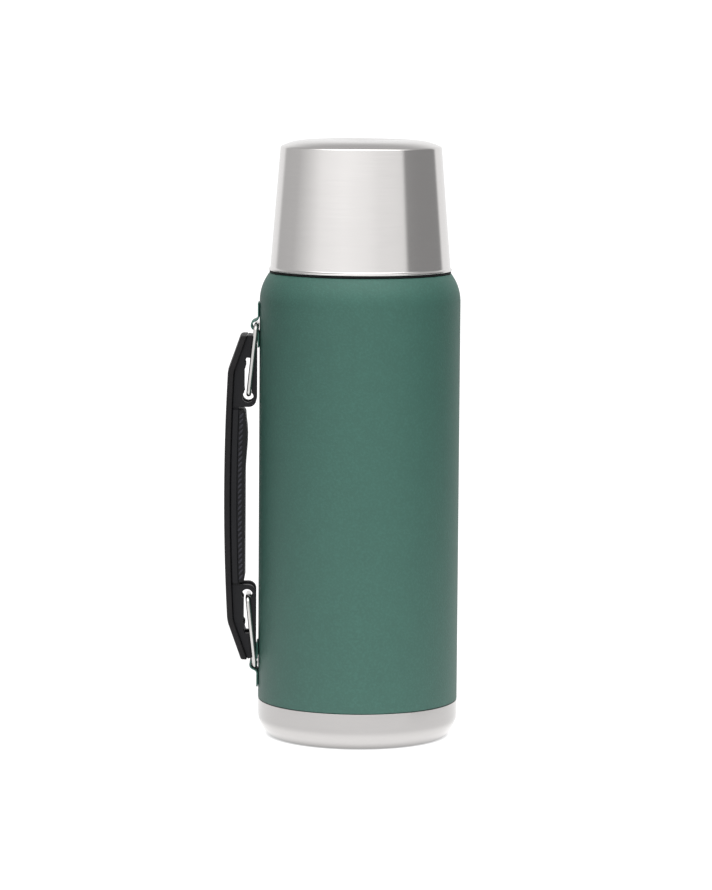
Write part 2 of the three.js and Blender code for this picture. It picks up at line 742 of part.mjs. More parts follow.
// The handle's frame: a web along the grip, with a pair of slotted ears at each end.
function handleFrame() {
  const ear = (upper) => {
    const foot = BAR_RISE - EAR_FOOT;
    return [
      [TIP_OUT, endOf(upper)],
      [EAR_EDGE, BAR_RISE + EAR_TIP],
      ...arc(EAR_EDGE + EAR_CORNER_R, foot + EAR_CORNER_R, EAR_CORNER_R, EAR_CORNER_R, 180, 270),
      ...faceLine(WEB_IN_DEPTH, foot).reverse().slice(0, -1),
    ];
  };
  const outside = (upper) => faceLine(WEB_OUT_DEPTH, endOf(upper));
  const frame = plate(bothHalves(outside, ear), -EAR_HALF_W, EAR_HALF_W);
  const gripTop = BAR_RISE - EAR_FOOT - 1;
  const widened = plate(
    bothHalves(
      () => faceLine(WEB_OUT_DEPTH, gripTop),
      () => faceLine(WEB_IN_DEPTH, gripTop).reverse().slice(0, -1),
    ),
    -GRIP_HALF_W,
    GRIP_HALF_W,
  );
  const pocketHalfW = EAR_HALF_W - EAR_T;
  const cuts = [1, -1].flatMap((side) => {
    const flipped = (points) => inPlace(points.map(([out, height]) => [out, side * height]));
    const top = BAR_RISE + FOOT_END + 5;
    const pocket = [
      [faceOut(gripTop, WEB_IN_DEPTH), gripTop],
      [faceOut(KINK_Z, WEB_IN_DEPTH), KINK_Z],
      [faceOut(top, WEB_IN_DEPTH), top],
      [-9, top],
      [-9, gripTop],
    ];
    const ordered = (points) => (side > 0 ? points : points.reverse());
    return [
      plate(ordered(flipped(pocket)), -pocketHalfW, pocketHalfW),
      plate(ordered(flipped(keyhole())), -EAR_HALF_W - 1, EAR_HALF_W + 1),
    ];
  });
  return shaped(frame, { add: [widened], cut: cuts });
}

// The grip pad: flat towards the fingers, with a soft swell under the forefinger.
function handleGripPad() {
  const top = BAR_RISE - EAR_FOOT - 1.5;
  const outline = [
    ...faceLine(WEB_IN_DEPTH + GAP, top).slice(1),
    [PAD_OUT + 0.6, top],
    [PAD_OUT - PAD_SWELL * 0.6, top - 3],
    ...arc(PAD_OUT, top - 12, PAD_SWELL, 12, 130, 230, 4),
    [PAD_OUT, top - 26],
    [PAD_OUT, 2 - top],
    [PAD_OUT + 0.6, -top],
    ...faceLine(WEB_IN_DEPTH + GAP, top)
      .map(([out, height]) => [out, -height])
      .reverse(),
  ];
  return plate(inPlace(outline), -GRIP_HALF_W, GRIP_HALF_W, 0.8);
}

// ---- Assembly -----------------------------------------------------------------------------------

function piece(name, geometry, material) {
  const mesh = new THREE.Mesh(geometry, material);
  mesh.name = name;
  return mesh;
}

function group(...members) {
  return new THREE.Group().add(...members);
}

const body = group(
  piece("outer_shell", outerShell(), greenCoat),
  piece("inner_vessel", innerVessel(), plainSteel),
  piece("base_cup", baseCup(), brushedSteel),
  piece("bottom_plate", bottomPlate(), plainSteel),
  piece("vacuum_seal_plug", sealPlug(), plainSteel),
  piece("getter_capsule", getterCapsule(), plainSteel),
);

const cup = group(
  piece("cup_outer_shell", cupOuterShell(), brushedSteel),
  piece("cup_inner_liner", cupInnerLiner(), brushedSteel),
  piece("cup_thread_ring", cupThreadRing(), blackPlastic),
  piece("cup_seal_ring", cupSealRing(), sealRubber),
);

const stopper = group(
  piece("stopper_housing", stopperHousing(), blackPlastic),
  piece("stopper_top_cap", stopperTopCap(), blackPlastic),
  piece("stopper_gasket", stopperGasket(), clearSilicone),
  piece("pour_button", pourButton(), glossPlastic),
  piece("valve_stem", valveStem(), plainSteel),
  piece("valve_disc", valveDisc(), glossPlastic),
  piece("valve_seal", valveSeal(), clearSilicone),
  piece("button_spring", buttonSpring(), wireSteel),
);

// A link and its bracket share a pivot. The lower pair is the upper one turned over.
function pivotPair(side, pivotZ) {
  const link = piece(`${side}_wire_link`, wireLink(), wireSteel);
  link.rotation.y = Math.atan2(LINK_LEAN, LINK_RISE);
  const pair = group(link, piece(`${side}_bracket`, bracketStrap(), greenCoat));
  pair.position.set(PIVOT_X, 0, pivotZ);
  return pair;
}

const upperPair = pivotPair("upper", UPPER_PIVOT_Z);
const lowerPair = pivotPair("lower", LOWER_PIVOT_Z);
lowerPair.rotation.x = Math.PI;

const handle = group(
  piece("handle_frame", handleFrame(), blackPlastic),
  piece("handle_outer_cover", handleOuterCover(), blackPlastic),
  piece("handle_grip_pad", handleGripPad(), gripRubber),
);

export default group(body, cup, stopper, upperPair, lowerPair, handle);
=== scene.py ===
import json
import math

import bmesh
import bpy
from mathutils import Matrix, Vector

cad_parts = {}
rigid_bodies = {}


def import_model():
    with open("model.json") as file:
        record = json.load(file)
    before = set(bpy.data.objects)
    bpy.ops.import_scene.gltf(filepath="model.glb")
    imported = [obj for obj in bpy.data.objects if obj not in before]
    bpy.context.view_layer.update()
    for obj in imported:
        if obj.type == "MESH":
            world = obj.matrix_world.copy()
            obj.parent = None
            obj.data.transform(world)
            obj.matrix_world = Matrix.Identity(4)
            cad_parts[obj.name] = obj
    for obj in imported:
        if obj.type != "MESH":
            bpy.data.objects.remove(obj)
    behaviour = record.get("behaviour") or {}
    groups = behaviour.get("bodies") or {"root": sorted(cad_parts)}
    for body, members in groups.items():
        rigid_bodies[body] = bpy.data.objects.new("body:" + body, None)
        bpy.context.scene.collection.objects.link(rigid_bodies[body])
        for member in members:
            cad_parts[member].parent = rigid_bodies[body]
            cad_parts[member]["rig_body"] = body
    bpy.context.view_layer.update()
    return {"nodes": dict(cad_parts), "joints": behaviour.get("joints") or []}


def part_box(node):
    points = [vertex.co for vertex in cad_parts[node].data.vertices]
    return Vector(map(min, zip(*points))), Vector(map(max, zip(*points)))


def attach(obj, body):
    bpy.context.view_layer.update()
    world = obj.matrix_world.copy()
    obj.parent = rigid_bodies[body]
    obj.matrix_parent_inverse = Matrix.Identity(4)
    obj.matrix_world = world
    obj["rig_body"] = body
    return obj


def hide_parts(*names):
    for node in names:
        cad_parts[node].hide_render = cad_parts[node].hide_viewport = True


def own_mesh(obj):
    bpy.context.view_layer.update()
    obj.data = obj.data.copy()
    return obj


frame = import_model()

bl_info = {
    "name": "Vacuum Flask",
    "version": (1, 0, 0),
    "blender": (4, 5, 0),
    "location": "View3D > Sidebar > Flask",
    "description": "Builds the finished pieces of a vacuum flask round its frame",
    "category": "Add Mesh",
}

MM = 0.001
X, Y, Z = Vector((1, 0, 0)), Vector((0, 1, 0)), Vector((0, 0, 1))


def span(node):
    """A frame node's lowest and highest corner, in millimetres."""
    low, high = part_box(node)
    return low / MM, high / MM


def levels(node):
    """A frame node's lowest and highest level."""
    low, high = span(node)
    return low.z, high.z


def radius(node):
    """The radius of a round frame node."""
    return span(node)[1].x


def half_width(node):
    """Half of a frame node's width across the handle."""
    return span(node)[1].y


def joint(name):
    """A joint of the frame."""
    return next(j for j in frame["joints"] if j["name"] == name)


def hinge(name):
    """A hinge's place, in millimetres."""
    return Vector(joint(name)["pos_m"]) / MM


# ---- Places that the frame gives -----------------------------------------------------------------

# The clearance between neighbouring pieces, and the thickness of the sheet steel.
GAP = 0.3
SHEET = 0.6

BODY_R, BASE_H = radius("base_cup"), levels("base_cup")[1]
SHELL_FOOT, SHELL_TOP = levels("outer_shell")
VESSEL_R, (VESSEL_Z, MOUTH_Z) = radius("inner_vessel"), levels("inner_vessel")
LEDGE_R, SEAL_Z = radius("cup_seal_ring"), levels("cup_seal_ring")[0]
LEDGE_Z = SEAL_Z - GAP
CUP_Z, CUP_TOP = levels("cup_outer_shell")
LINER_FOOT, LINER_TOP = levels("cup_inner_liner")
RING_FOOT, RING_TOP = levels("cup_thread_ring")
FLANGE_R, (PLUG_Z, COLLAR_TOP) = radius("stopper_housing"), levels("stopper_housing")
CAP_R, (CAP_Z, CAP_TOP) = radius("stopper_top_cap"), levels("stopper_top_cap")
BUTTON_R, (BUTTON_Z, BUTTON_TOP) = radius("pour_button"), levels("pour_button")
DISC_R, (DISC_Z, DISC_TOP) = radius("valve_disc"), levels("valve_disc")
SPRING_Z, SPRING_TOP = levels("button_spring")

UPPER_PIVOT, UPPER_BAR = hinge("upper_link_swing"), hinge("handle_swing")
LOWER_PIVOT = hinge("lower_link_swing")
HANDLE_MID = (UPPER_PIVOT.z + LOWER_PIVOT.z) / 2
BAR_RISE = UPPER_BAR.z - HANDLE_MID
COVER_OUT = -span("handle_outer_cover")[0].x - BODY_R
HANDLE_TOP = levels("handle_outer_cover")[1] - HANDLE_MID
HANDLE_FOOT = HANDLE_MID - levels("handle_outer_cover")[0]


# ---- Settings ------------------------------------------------------------------------------------


def length(name, description, millimetres):
    """A length setting, kept in metres."""
    return bpy.props.FloatProperty(
        name=name, description=description, default=millimetres * MM, min=0, unit="LENGTH", precision=5
    )


def colour(name, description, red, green, blue):
    """A colour setting."""
    return bpy.props.FloatVectorProperty(
        name=name, description=description, default=(red, green, blue), min=0, max=1, subtype="COLOR"
    )


class FlaskSizes(bpy.types.PropertyGroup):
    """Sizes that the frame doesn't give."""

    facets: bpy.props.IntProperty(
        name="Facets", description="Facets round a turned piece", default=160, min=24
    )
    shoulder_r: length("Shoulder radius", "Round shoulder above the straight wall", 22.8)
    shoulder_rise: length("Shoulder rise", "Height of the shoulder", 14)
    neck_inset: length("Neck inset", "From the ledge's rim in to the neck", 6.2)
    neck_gap: length("Neck gap", "Between the neck's two walls", 7.6)
    base_edge_w: length("Base edge width", "Rounded edge under the base", 8)
    base_edge_h: length("Base edge height", "Rounded edge under the base", 12)
    cup_edge_w: length("Cup edge width", "Domed edge round the cup's top", 13.3)
    cup_edge_h: length("Cup edge height", "Domed edge round the cup's top", 3.2)
    cup_taper: bpy.props.FloatProperty(
        name="Cup taper", description="Lean of the cup's wall", default=math.radians(4.6), subtype="ANGLE"
    )
    wire_r: length("Wire radius", "Steel wire of the links", 1.2)
    strap_t: length("Strap thickness", "Steel strap of the brackets", 0.75)
    cover_t: length("Cover thickness", "Outer cover of the handle", 3.3)
    web_t: length("Web thickness", "Frame under the cover", 3.2)
    rib_pitch: length("Rib pitch", "Spacing of the grip's slanted ribs", 2.7)


class FlaskColours(bpy.types.PropertyGroup):
    """Base colours of the finishes."""

    coat: colour("Coat", "Powder coat of the body", 0.0265, 0.084, 0.066)
    steel: colour("Brushed steel", "Cup and base", 0.74, 0.72, 0.71)
    bright_steel: colour("Bright steel", "Wire, vessel and neck", 0.80, 0.79, 0.77)
    cover: colour("Cover", "Grained cover of the handle", 0.006, 0.0055, 0.006)
    moulding: colour("Moulding", "Moulded black plastic", 0.004, 0.004, 0.005)
    grip: colour("Grip", "Ribbed strip of the grip", 0.022, 0.022, 0.027)
    rubber: colour("Rubber", "Seals and pad", 0.005, 0.005, 0.0055)
    silicone: colour("Silicone", "Stopper seals", 0.48, 0.48, 0.46)
    floor: colour("Floor", "Studio floor", 0.94, 0.94, 0.94)


# ---- Drawing -------------------------------------------------------------------------------------


def arc(out, up, out_r, up_r, start, end, steps=20):
    """Points on an ellipse's arc, from one angle to another in degrees."""
    angles = [math.radians(start + (end - start) * i / steps) for i in range(steps + 1)]
    return [(out + out_r * math.cos(a), up + up_r * math.sin(a)) for a in angles]


def rounded(corners):
    """Points of a closed outline. A corner's third number is the radius that rounds it off."""
    points = []
    for i, corner in enumerate(corners):
        here = Vector(corner[:2])
        if len(corner) == 2:
            points.append(here)
            continue
        before = (Vector(corners[i - 1][:2]) - here).normalized()
        after = (Vector(corners[(i + 1) % len(corners)][:2]) - here).normalized()
        turn = math.pi - before.angle(after)
        centre = here + (before + after).normalized() * corner[2] / math.cos(turn / 2)
        spoke = here + before * corner[2] * math.tan(turn / 2) - centre
        side = 1 if after.cross(before) < 0 else -1
        steps = max(2, round(math.degrees(turn) / 11))
        points += [centre + Matrix.Rotation(-side * turn * k / steps, 2) @ spoke for k in range(steps + 1)]
    return points


def loop(bm, points, closed=True):
    """Edges through points in space."""
    verts = [bm.verts.new(point) for point in points]
    return [bm.edges.new(pair) for pair in zip(verts, verts[1:] + verts[:1] if closed else verts[1:])]


def ends(edges):
    """The vertices of some edges, each once and in order."""
    return list(dict.fromkeys(vert for edge in edges for vert in edge.verts))


def turned(bm, corners, facets, closed=True, start=0, sweep=360):
    """Turns a side view of (radius, height) corners about Z. An open one starts and ends on the axis."""
    known = len(bm.verts)
    edges = loop(bm, [(out, 0, up) for out, up in rounded(corners)], closed)
    about = Matrix.Rotation(math.radians(start), 3, "Z")
    bmesh.ops.rotate(bm, cent=(0, 0, 0), matrix=about, verts=ends(edges))
    whole = sweep == 360
    last = bend(bm, edges, (0, 0, 0), Z, sweep, round(facets * sweep / 360), merge=whole)
    if not whole:
        bmesh.ops.edgeloop_fill(bm, edges=edges)
        bmesh.ops.edgeloop_fill(bm, edges=last)
    bmesh.ops.remove_doubles(bm, verts=list(bm.verts)[known:], dist=0.001)


def bend(bm, edges, centre, axis, degrees, steps, rise=0, merge=False):
    """Carries an open end round an axis and returns the new end."""
    made = bmesh.ops.spin(
        bm,
        geom=ends(edges) + edges,
        cent=centre,
        axis=axis,
        dvec=axis * rise / steps,
        angle=math.radians(degrees),
        steps=steps,
        use_merge=merge,
    )
    return [item for item in made["geom_last"] if isinstance(item, bmesh.types.BMEdge)]


def pull(bm, edges, move):
    """Draws an open end out in a straight line and returns the new end."""
    made = bmesh.ops.extrude_edge_only(bm, edges=edges)["geom"]
    verts = [item for item in made if isinstance(item, bmesh.types.BMVert)]
    bmesh.ops.translate(bm, vec=move, verts=verts)
    fresh = set(verts)
    return [e for e in made if isinstance(e, bmesh.types.BMEdge) and fresh.issuperset(e.verts)]


def wire_end(bm, wire_r, sides, place):
    """A circle that faces along Y, and is the first end of a wire."""
    place = Matrix.Translation(place) @ Matrix.Rotation(math.pi / 2, 4, "X")
    circle = bmesh.ops.create_circle(bm, segments=sides, radius=wire_r, matrix=place)["verts"]
    return list(dict.fromkeys(edge for vert in circle for edge in vert.link_edges))


def bead(bm, coil_r, wire_r, z, rise, turns, sides=12, steps=48):
    """A round bead that winds up round the axis."""
    first = wire_end(bm, wire_r, sides, (coil_r, 0, z))
    last = bend(bm, first, (0, 0, 0), Z, 360 * turns, round(turns * steps), rise)
    for end in (first, last):
        faces = bmesh.ops.edgeloop_fill(bm, edges=end)["faces"]
        bmesh.ops.poke(bm, faces=faces, offset=wire_r * 0.8)


def round_over(bm, edges, width):
    """Rounds sharp edges over."""
    bmesh.ops.bevel(
        bm,
        geom=edges,
        offset=width,
        segments=3,
        profile=0.5,
        affect="EDGES",
        material=-1,
        clamp_overlap=True,
    )


def plate(bm, outline, hole, near, far, edge):
    """A flat plate across Y from a side view, with a hole through it and its edges rounded."""
    known = len(bm.verts)
    edges = [e for points in (outline, hole) if points for e in loop(bm, [(x, near, z) for x, z in points])]
    made = bmesh.ops.triangle_fill(bm, use_beauty=True, edges=edges)["geom"]
    faces = [item for item in made if isinstance(item, bmesh.types.BMFace)]
    made = bmesh.ops.extrude_face_region(bm, geom=faces, use_keep_orig=True)["geom"]
    verts = [item for item in made if isinstance(item, bmesh.types.BMVert)]
    bmesh.ops.translate(bm, vec=Y * (far - near), verts=verts)
    fresh = set(list(bm.verts)[known:])
    bmesh.ops.recalc_face_normals(bm, faces=[f for f in bm.faces if f.verts[0] in fresh])
    sharp = [e for e in bm.edges if e.verts[0] in fresh and e.calc_face_angle(0) > math.radians(60)]
    round_over(bm, sharp, edge)


def settle(name, bm, material, node, replaced=True, crease=38):
    """Makes a finished piece that rides with a frame node, and stands for it."""
    bmesh.ops.recalc_face_normals(bm, faces=bm.faces)
    bmesh.ops.scale(bm, vec=(MM, MM, MM), verts=bm.verts)
    for face in bm.faces:
        face.smooth = True
    for edge in bm.edges:
        edge.smooth = edge.calc_face_angle(0) < math.radians(crease)
    mesh = bpy.data.meshes.new(name)
    bm.to_mesh(mesh)
    bm.free()
    mesh.materials.append(material)
    piece = bpy.data.objects.new(name, mesh)
    bpy.context.scene.collection.objects.link(piece)
    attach(piece, frame["nodes"][node]["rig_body"])
    if replaced:
        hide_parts(node)
    return piece


# The thread's bead rises by its pitch in each turn, on the neck, in the mouth, on the cup and on the plug.
BEAD_PITCH = 5
BEAD_TURNS = 1.25
BEAD_RISE = BEAD_PITCH * BEAD_TURNS
NECK_BEAD_R = 1.2
MOUTH_BEAD_R = 0.75
RING_BEAD_R = 0.9
PLUG_BEAD_R = 0.9


def lathe(name, corners, sizes, material, node, closed=True, thread=None):
    """Makes a turned piece, with a thread where its (radius, bead's radius, start's height) are given."""
    bm = bmesh.new()
    turned(bm, corners, sizes.facets, closed)
    if thread:
        bead(bm, *thread, BEAD_RISE, BEAD_TURNS)
    settle(name, bm, material, node)


# ---- Shading -------------------------------------------------------------------------------------


class Flow:
    """A node's output that takes part in sums."""

    def __init__(self, nodes, socket):
        self.nodes = nodes
        self.socket = socket

    def sum(self, operation, *values):
        return self.nodes.add("Math", {"operation": operation}, dict(enumerate(values)))

    def __add__(self, other):
        return self.sum("ADD", self, other)

    def __sub__(self, other):
        return self.sum("SUBTRACT", self, other)

    def __rsub__(self, other):
        return self.sum("SUBTRACT", other, self)

    def __mul__(self, other):
        return self.sum("MULTIPLY", self, other)

    def __truediv__(self, other):
        return self.sum("DIVIDE", self, other)

    def __gt__(self, other):
        return self.sum("GREATER_THAN", self, other)

    __radd__ = __add__
    __rmul__ = __mul__


class Nodes:
    """A node tree that grows one node at a time."""

    def __init__(self, tree):
        self.tree = tree

    def add(self, kind, settings, sockets, output=0):
        """Adds a node: its settings first, then the values or links of its sockets."""
        node = self.tree.nodes.new("ShaderNode" + kind)
        for name, value in settings.items():
            if name == "stops":
                self.stops(node.color_ramp, value)
            else:
                setattr(node, name, value)
        self.fill(node, sockets)
        return Flow(self, node.outputs[output])

    def stops(self, ramp, stops):
        while len(ramp.elements) < len(stops):
            ramp.elements.new(0.5)
        for element, (place, level) in zip(ramp.elements, stops):
            element.position = place
            element.color = (level, level, level, 1)

    def fill(self, node, sockets):
        for name, value in sockets.items():
            if isinstance(value, Flow):
                self.tree.links.new(value.socket, node.inputs[name])
            else:
                node.inputs[name].default_value = value


# The frame brings plain materials of its own, so each finish has a name that none of them has.
FINISH_NAME = "{}_finish"


def socket_names(values):
    """Shader values under their sockets' own names."""
    return {key.replace("_", " ").title().replace("Ior", "IOR"): value for key, value in values.items()}


class Finish(Nodes):
    """A material with one principled shader. Its patterns are sized in millimetres."""

    def __init__(self, name, **constants):
        self.material = bpy.data.materials.new(FINISH_NAME.format(name))
        self.material.use_nodes = True
        super().__init__(self.material.node_tree)
        self.shader = self.tree.nodes["Principled BSDF"]
        self.fill(self.shader, socket_names(constants))

    def place(self, *stretch):
        """Object coordinates in millimetres, with a finer pattern where the stretch is larger."""
        where = self.add("TexCoord", {}, {}, "Object")
        return self.add("Mapping", {}, {"Vector": where, "Scale": [s / MM for s in stretch or (1, 1, 1)]})

    def noise(self, size, detail=3, where=None):
        sockets = {"Vector": where or self.place(), "Scale": 1 / size, "Detail": detail, "Roughness": 0.55}
        return self.add("TexNoise", {}, sockets)

    def cells(self, size):
        return self.add("TexVoronoi", {"feature": "SMOOTH_F1"}, {"Vector": self.place(), "Scale": 1 / size})

    def ramp(self, value, *stops):
        return self.add("ValToRGB", {"stops": stops}, {"Fac": value})

    def mix(self, factor, first, second):
        return self.add("Mix", {"data_type": "RGBA"}, {0: factor, 6: (*first, 1), 7: (*second, 1)}, 2)

    def flat(self, where):
        return self.add("VectorMath", {"operation": "MULTIPLY"}, {0: where, 1: (1, 1, 0)})

    def parts(self):
        """The height above the floor and the distance from the axis, in millimetres."""
        where = self.place()
        height = self.add("SeparateXYZ", {}, {"Vector": where}, "Z")
        reach = self.add("VectorMath", {"operation": "LENGTH"}, {0: self.flat(where)}, "Value")
        return height, reach

    def streaks(self, size):
        """Fine lines that run round the axis, on walls and flat tops alike."""
        height, reach = self.parts()
        bands = self.add("CombineXYZ", {}, {"Z": (height + reach) / size})
        drift = self.add("VectorMath", {"operation": "SCALE"}, {0: self.place(), "Scale": 1 / 22})
        lines = self.add("VectorMath", {"operation": "ADD"}, {0: self.flat(drift), 1: bands})
        return self.add("TexNoise", {}, {"Vector": lines, "Scale": 1, "Detail": 4, "Roughness": 0.7})

    def relief(self, height, depth, strength=1):
        """Bumps of a depth in millimetres."""
        bumps = self.add("Bump", {}, {"Height": height, "Distance": depth * MM, "Strength": strength})
        self.fill(self.shader, {"Normal": bumps})

    def show(self, **varied):
        self.fill(self.shader, socket_names(varied))
        return self.material


def shade(tint, factor):
    """A colour made darker or lighter."""
    return tuple(min(1, channel * factor) for channel in tint)


def powder_coat(tint, bare):
    """A fine-textured coat that stops at the ledge, with bare steel above it."""
    finish = Finish("powder_coat", specular_ior_level=0.6)
    height, _ = finish.parts()
    neck = height > LEDGE_Z + 0.5
    grain = finish.noise(0.55, 4)
    cloud = finish.noise(9, 2)
    speck = finish.ramp(finish.noise(1.1, 2), (0.45, 0), (0.7, 1))
    coat = finish.mix(speck * 0.45 + cloud * 0.3, shade(tint, 0.86), shade(tint, 1.3))
    tone = finish.add("Mix", {"data_type": "RGBA"}, {0: neck, 6: coat, 7: (*bare, 1)}, 2)
    finish.relief((grain + speck * 0.6) * (1 - neck), 0.07, 0.7)
    roughness = (0.5 + grain * 0.12) * (1 - neck) + neck * 0.27
    return finish.show(base_color=tone, roughness=roughness, metallic=neck)


def brushed_steel(name, tint):
    """Steel brushed round the axis, which draws reflections out along the wall."""
    finish = Finish(name, metallic=1.0, anisotropic=0.78, anisotropic_rotation=0.25)
    fine, broad = finish.streaks(0.16), finish.streaks(1.3)
    smear = finish.noise(30, 2)
    tone = finish.mix(fine * 0.5 + broad * 0.3 + smear * 0.2, shade(tint, 0.9), shade(tint, 1.08))
    finish.relief(fine, 0.006, 0.5)
    return finish.show(base_color=tone, roughness=0.1 + fine * 0.08 + smear * 0.05)


def clean_steel(name, tint, level):
    """Bright steel with a faint cloudiness and hairline marks."""
    finish = Finish(name, metallic=1.0)
    cloud = finish.noise(5, 3)
    hair = finish.noise(0.4, 3, finish.place(1, 1, 0.15))
    tone = finish.mix(cloud * 0.6 + hair * 0.3, shade(tint, 0.9), shade(tint, 1.06))
    finish.relief(hair, 0.004, 0.5)
    return finish.show(base_color=tone, roughness=level + cloud * 0.07 + hair * 0.05)


def grained_cover(tint):
    """Soft black plastic with a pebbled leather grain, paler where it is handled."""
    finish = Finish("grained_cover", specular_ior_level=0.22)
    pebble = finish.cells(0.95)
    fine = finish.noise(0.3, 3)
    worn = finish.ramp(finish.noise(14, 3), (0.4, 0), (0.7, 1))
    tone = finish.mix(pebble * 0.5 + worn * 0.35, shade(tint, 0.7), shade(tint, 1.7))
    finish.relief(fine * 0.3 - pebble, 0.12, 0.7)
    return finish.show(base_color=tone, roughness=0.5 - pebble * 0.1 + fine * 0.12)


def moulded_plastic(name, tint, level, grain=0.5, depth=0.02):
    """Moulded plastic with a fine spark-eroded grain."""
    finish = Finish(name, specular_ior_level=0.24)
    spark = finish.noise(grain, 4)
    cloud = finish.noise(8, 2)
    tone = finish.mix(spark * 0.5 + cloud * 0.4, shade(tint, 0.8), shade(tint, 1.35))
    finish.relief(spark, depth, 0.6)
    return finish.show(base_color=tone, roughness=level + spark * 0.14)


def soft_rubber(name, tint, level):
    """Matte rubber with a faint bloom of dust."""
    finish = Finish(name, specular_ior_level=0.2)
    fine = finish.noise(0.25, 4)
    bloom = finish.ramp(finish.noise(3, 4), (0.45, 0), (0.8, 1))
    tone = finish.mix(bloom * 0.5 + fine * 0.3, shade(tint, 0.85), shade(tint, 1.8))
    finish.relief(fine, 0.03, 0.5)
    return finish.show(base_color=tone, roughness=level + fine * 0.12)


def pale_silicone(tint):
    """Milky silicone."""
    finish = Finish("pale_silicone", specular_ior_level=0.45, coat_weight=0.15)
    cloud = finish.noise(2.5, 3)
    tone = finish.mix(cloud, shade(tint, 0.88), shade(tint, 1.08))
    finish.relief(cloud, 0.02, 0.4)
    return finish.show(base_color=tone, roughness=0.42 + cloud * 0.12)


def studio_floor(tint):
    """A matte floor, dark in itself, that glows with painted light: brightest in a ring round the flask,
    dimmer right under it, and fairly bright beyond.
    """
    finish = Finish("studio_floor", specular_ior_level=0.1, emission_strength=1)
    fibre = finish.noise(1.5, 3)
    _, reach = finish.parts()
    stops = [(distance * MM / FLOOR_R, level / PAINTED_GLOW_PEAK) for distance, level in PAINTED_FLOOR_GLOW]
    # The glow is painted light: a bright ring for the base's edge to reflect, a dim disc under the base for a
    # painted contact shadow, and a glow further out that hides the flask's shadow.
    painted_glow = finish.ramp(reach * (MM / FLOOR_R), *stops) * PAINTED_GLOW_PEAK
    paper = finish.mix(fibre, shade(tint, 0.22), shade(tint, 0.225))
    return finish.show(base_color=paper, roughness=0.9 - fibre * 0.05, emission_color=painted_glow)


def finishes(context):
    """Every finish of the flask by name, made once."""
    tints = context.scene.flask_colours
    button_tint = shade(tints.moulding, 1.8)
    makers = {
        "powder_coat": lambda: powder_coat(tints.coat, tints.bright_steel),
        "brushed_steel": lambda: brushed_steel("brushed_steel", tints.steel),
        # The base is the cup's steel made darker: painted shade, set to how bright the floor that it reflects
        # is.
        "shaded_base_steel": lambda: brushed_steel("shaded_base_steel", shade(tints.steel, 0.66)),
        "bright_steel": lambda: clean_steel("bright_steel", tints.bright_steel, 0.2),
        # The wire is the bright steel made darker: painted shade for the dark surroundings that it reflects.
        "wire_steel": lambda: clean_steel("wire_steel", shade(tints.bright_steel, 0.8), 0.1),
        "grained_cover": lambda: grained_cover(tints.cover),
        "frame_plastic": lambda: moulded_plastic("frame_plastic", tints.moulding, 0.36, 0.35, 0.012),
        "stopper_plastic": lambda: moulded_plastic("stopper_plastic", tints.moulding, 0.4),
        "button_plastic": lambda: moulded_plastic("button_plastic", button_tint, 0.24, 0.3, 0.006),
        "rib_rubber": lambda: soft_rubber("rib_rubber", tints.grip, 0.5),
        "pad_rubber": lambda: soft_rubber("pad_rubber", tints.rubber, 0.5),
        "seal_rubber": lambda: soft_rubber("seal_rubber", tints.rubber, 0.6),
        "pale_silicone": lambda: pale_silicone(tints.silicone),
        "studio_floor": lambda: studio_floor(tints.floor),
    }

    def finish(name):
        return bpy.data.materials.get(FINISH_NAME.format(name)) or makers[name]()

    return finish


# ---- Body ----------------------------------------------------------------------------------------


def neck_radii(sizes):
    """The neck's outside and the mouth's inside."""
    neck_r = LEDGE_R - sizes.neck_inset / MM
    return neck_r, neck_r - 2 * SHEET - sizes.neck_gap / MM


class FLASK_OT_outer_shell(bpy.types.Operator):
    """Coated shell with a round shoulder, a ledge for the cup and a threaded neck"""

    bl_idname = "flask.outer_shell"
    bl_label = "Outer shell"

    def execute(self, context):
        sizes = context.scene.flask_sizes
        shoulder_r, rise = sizes.shoulder_r / MM, sizes.shoulder_rise / MM
        neck_r, _ = neck_radii(sizes)
        wall_top, centre = LEDGE_Z - rise, BODY_R - shoulder_r
        step_r, step_z = BODY_R - SHEET - GAP, BASE_H + GAP
        outside = arc(centre, wall_top, shoulder_r, shoulder_r, 0, math.degrees(math.asin(rise / shoulder_r)))
        in_r = shoulder_r - SHEET
        inside = arc(centre, wall_top, in_r, in_r, math.degrees(math.asin((rise - SHEET) / in_r)), 0)
        corners = [
            (step_r - SHEET, SHELL_FOOT),
            (step_r, SHELL_FOOT),
            (step_r, step_z),
            (BODY_R, step_z, 0.25),
            *outside[:-1],
            (*outside[-1], 0.5),
            (neck_r, LEDGE_Z, 0.8),
            (neck_r, SHELL_TOP),
            (neck_r - SHEET, SHELL_TOP),
            (neck_r - SHEET, LEDGE_Z - SHEET),
            *inside,
            (BODY_R - SHEET, step_z + SHEET),
            (step_r - SHEET, step_z + SHEET),
        ]
        thread = neck_r, NECK_BEAD_R, (LEDGE_Z + MOUTH_Z - BEAD_RISE) / 2
        lathe("body_shell", corners, sizes, finishes(context)("powder_coat"), "outer_shell", thread=thread)
        return {"FINISHED"}


class FLASK_OT_base(bpy.types.Operator):
    """Bare steel base with a rounded edge and a shallow groove under it"""

    bl_idname = "flask.base"
    bl_label = "Base"

    def execute(self, context):
        sizes = context.scene.flask_sizes
        wide, high = sizes.base_edge_w / MM, sizes.base_edge_h / MM
        groove_in, groove_out, groove_depth = 27, 36, 0.5
        centre = BODY_R - wide
        corners = [
            (0, 0),
            (groove_in, 0, 0.4),
            (groove_in + groove_depth, groove_depth, 0.4),
            (groove_out - groove_depth, groove_depth, 0.4),
            (groove_out, 0, 0.4),
            *arc(centre, high, wide, high, -90, 0, 28),
            (BODY_R, BASE_H, 0.2),
            (BODY_R - SHEET, BASE_H, 0.2),
            *arc(centre, high, wide - SHEET, high - 2 * SHEET, 0, -90, 20),
            (0, 2 * SHEET),
        ]
        lathe("steel_base", corners, sizes, finishes(context)("shaded_base_steel"), "base_cup", closed=False)
        return {"FINISHED"}


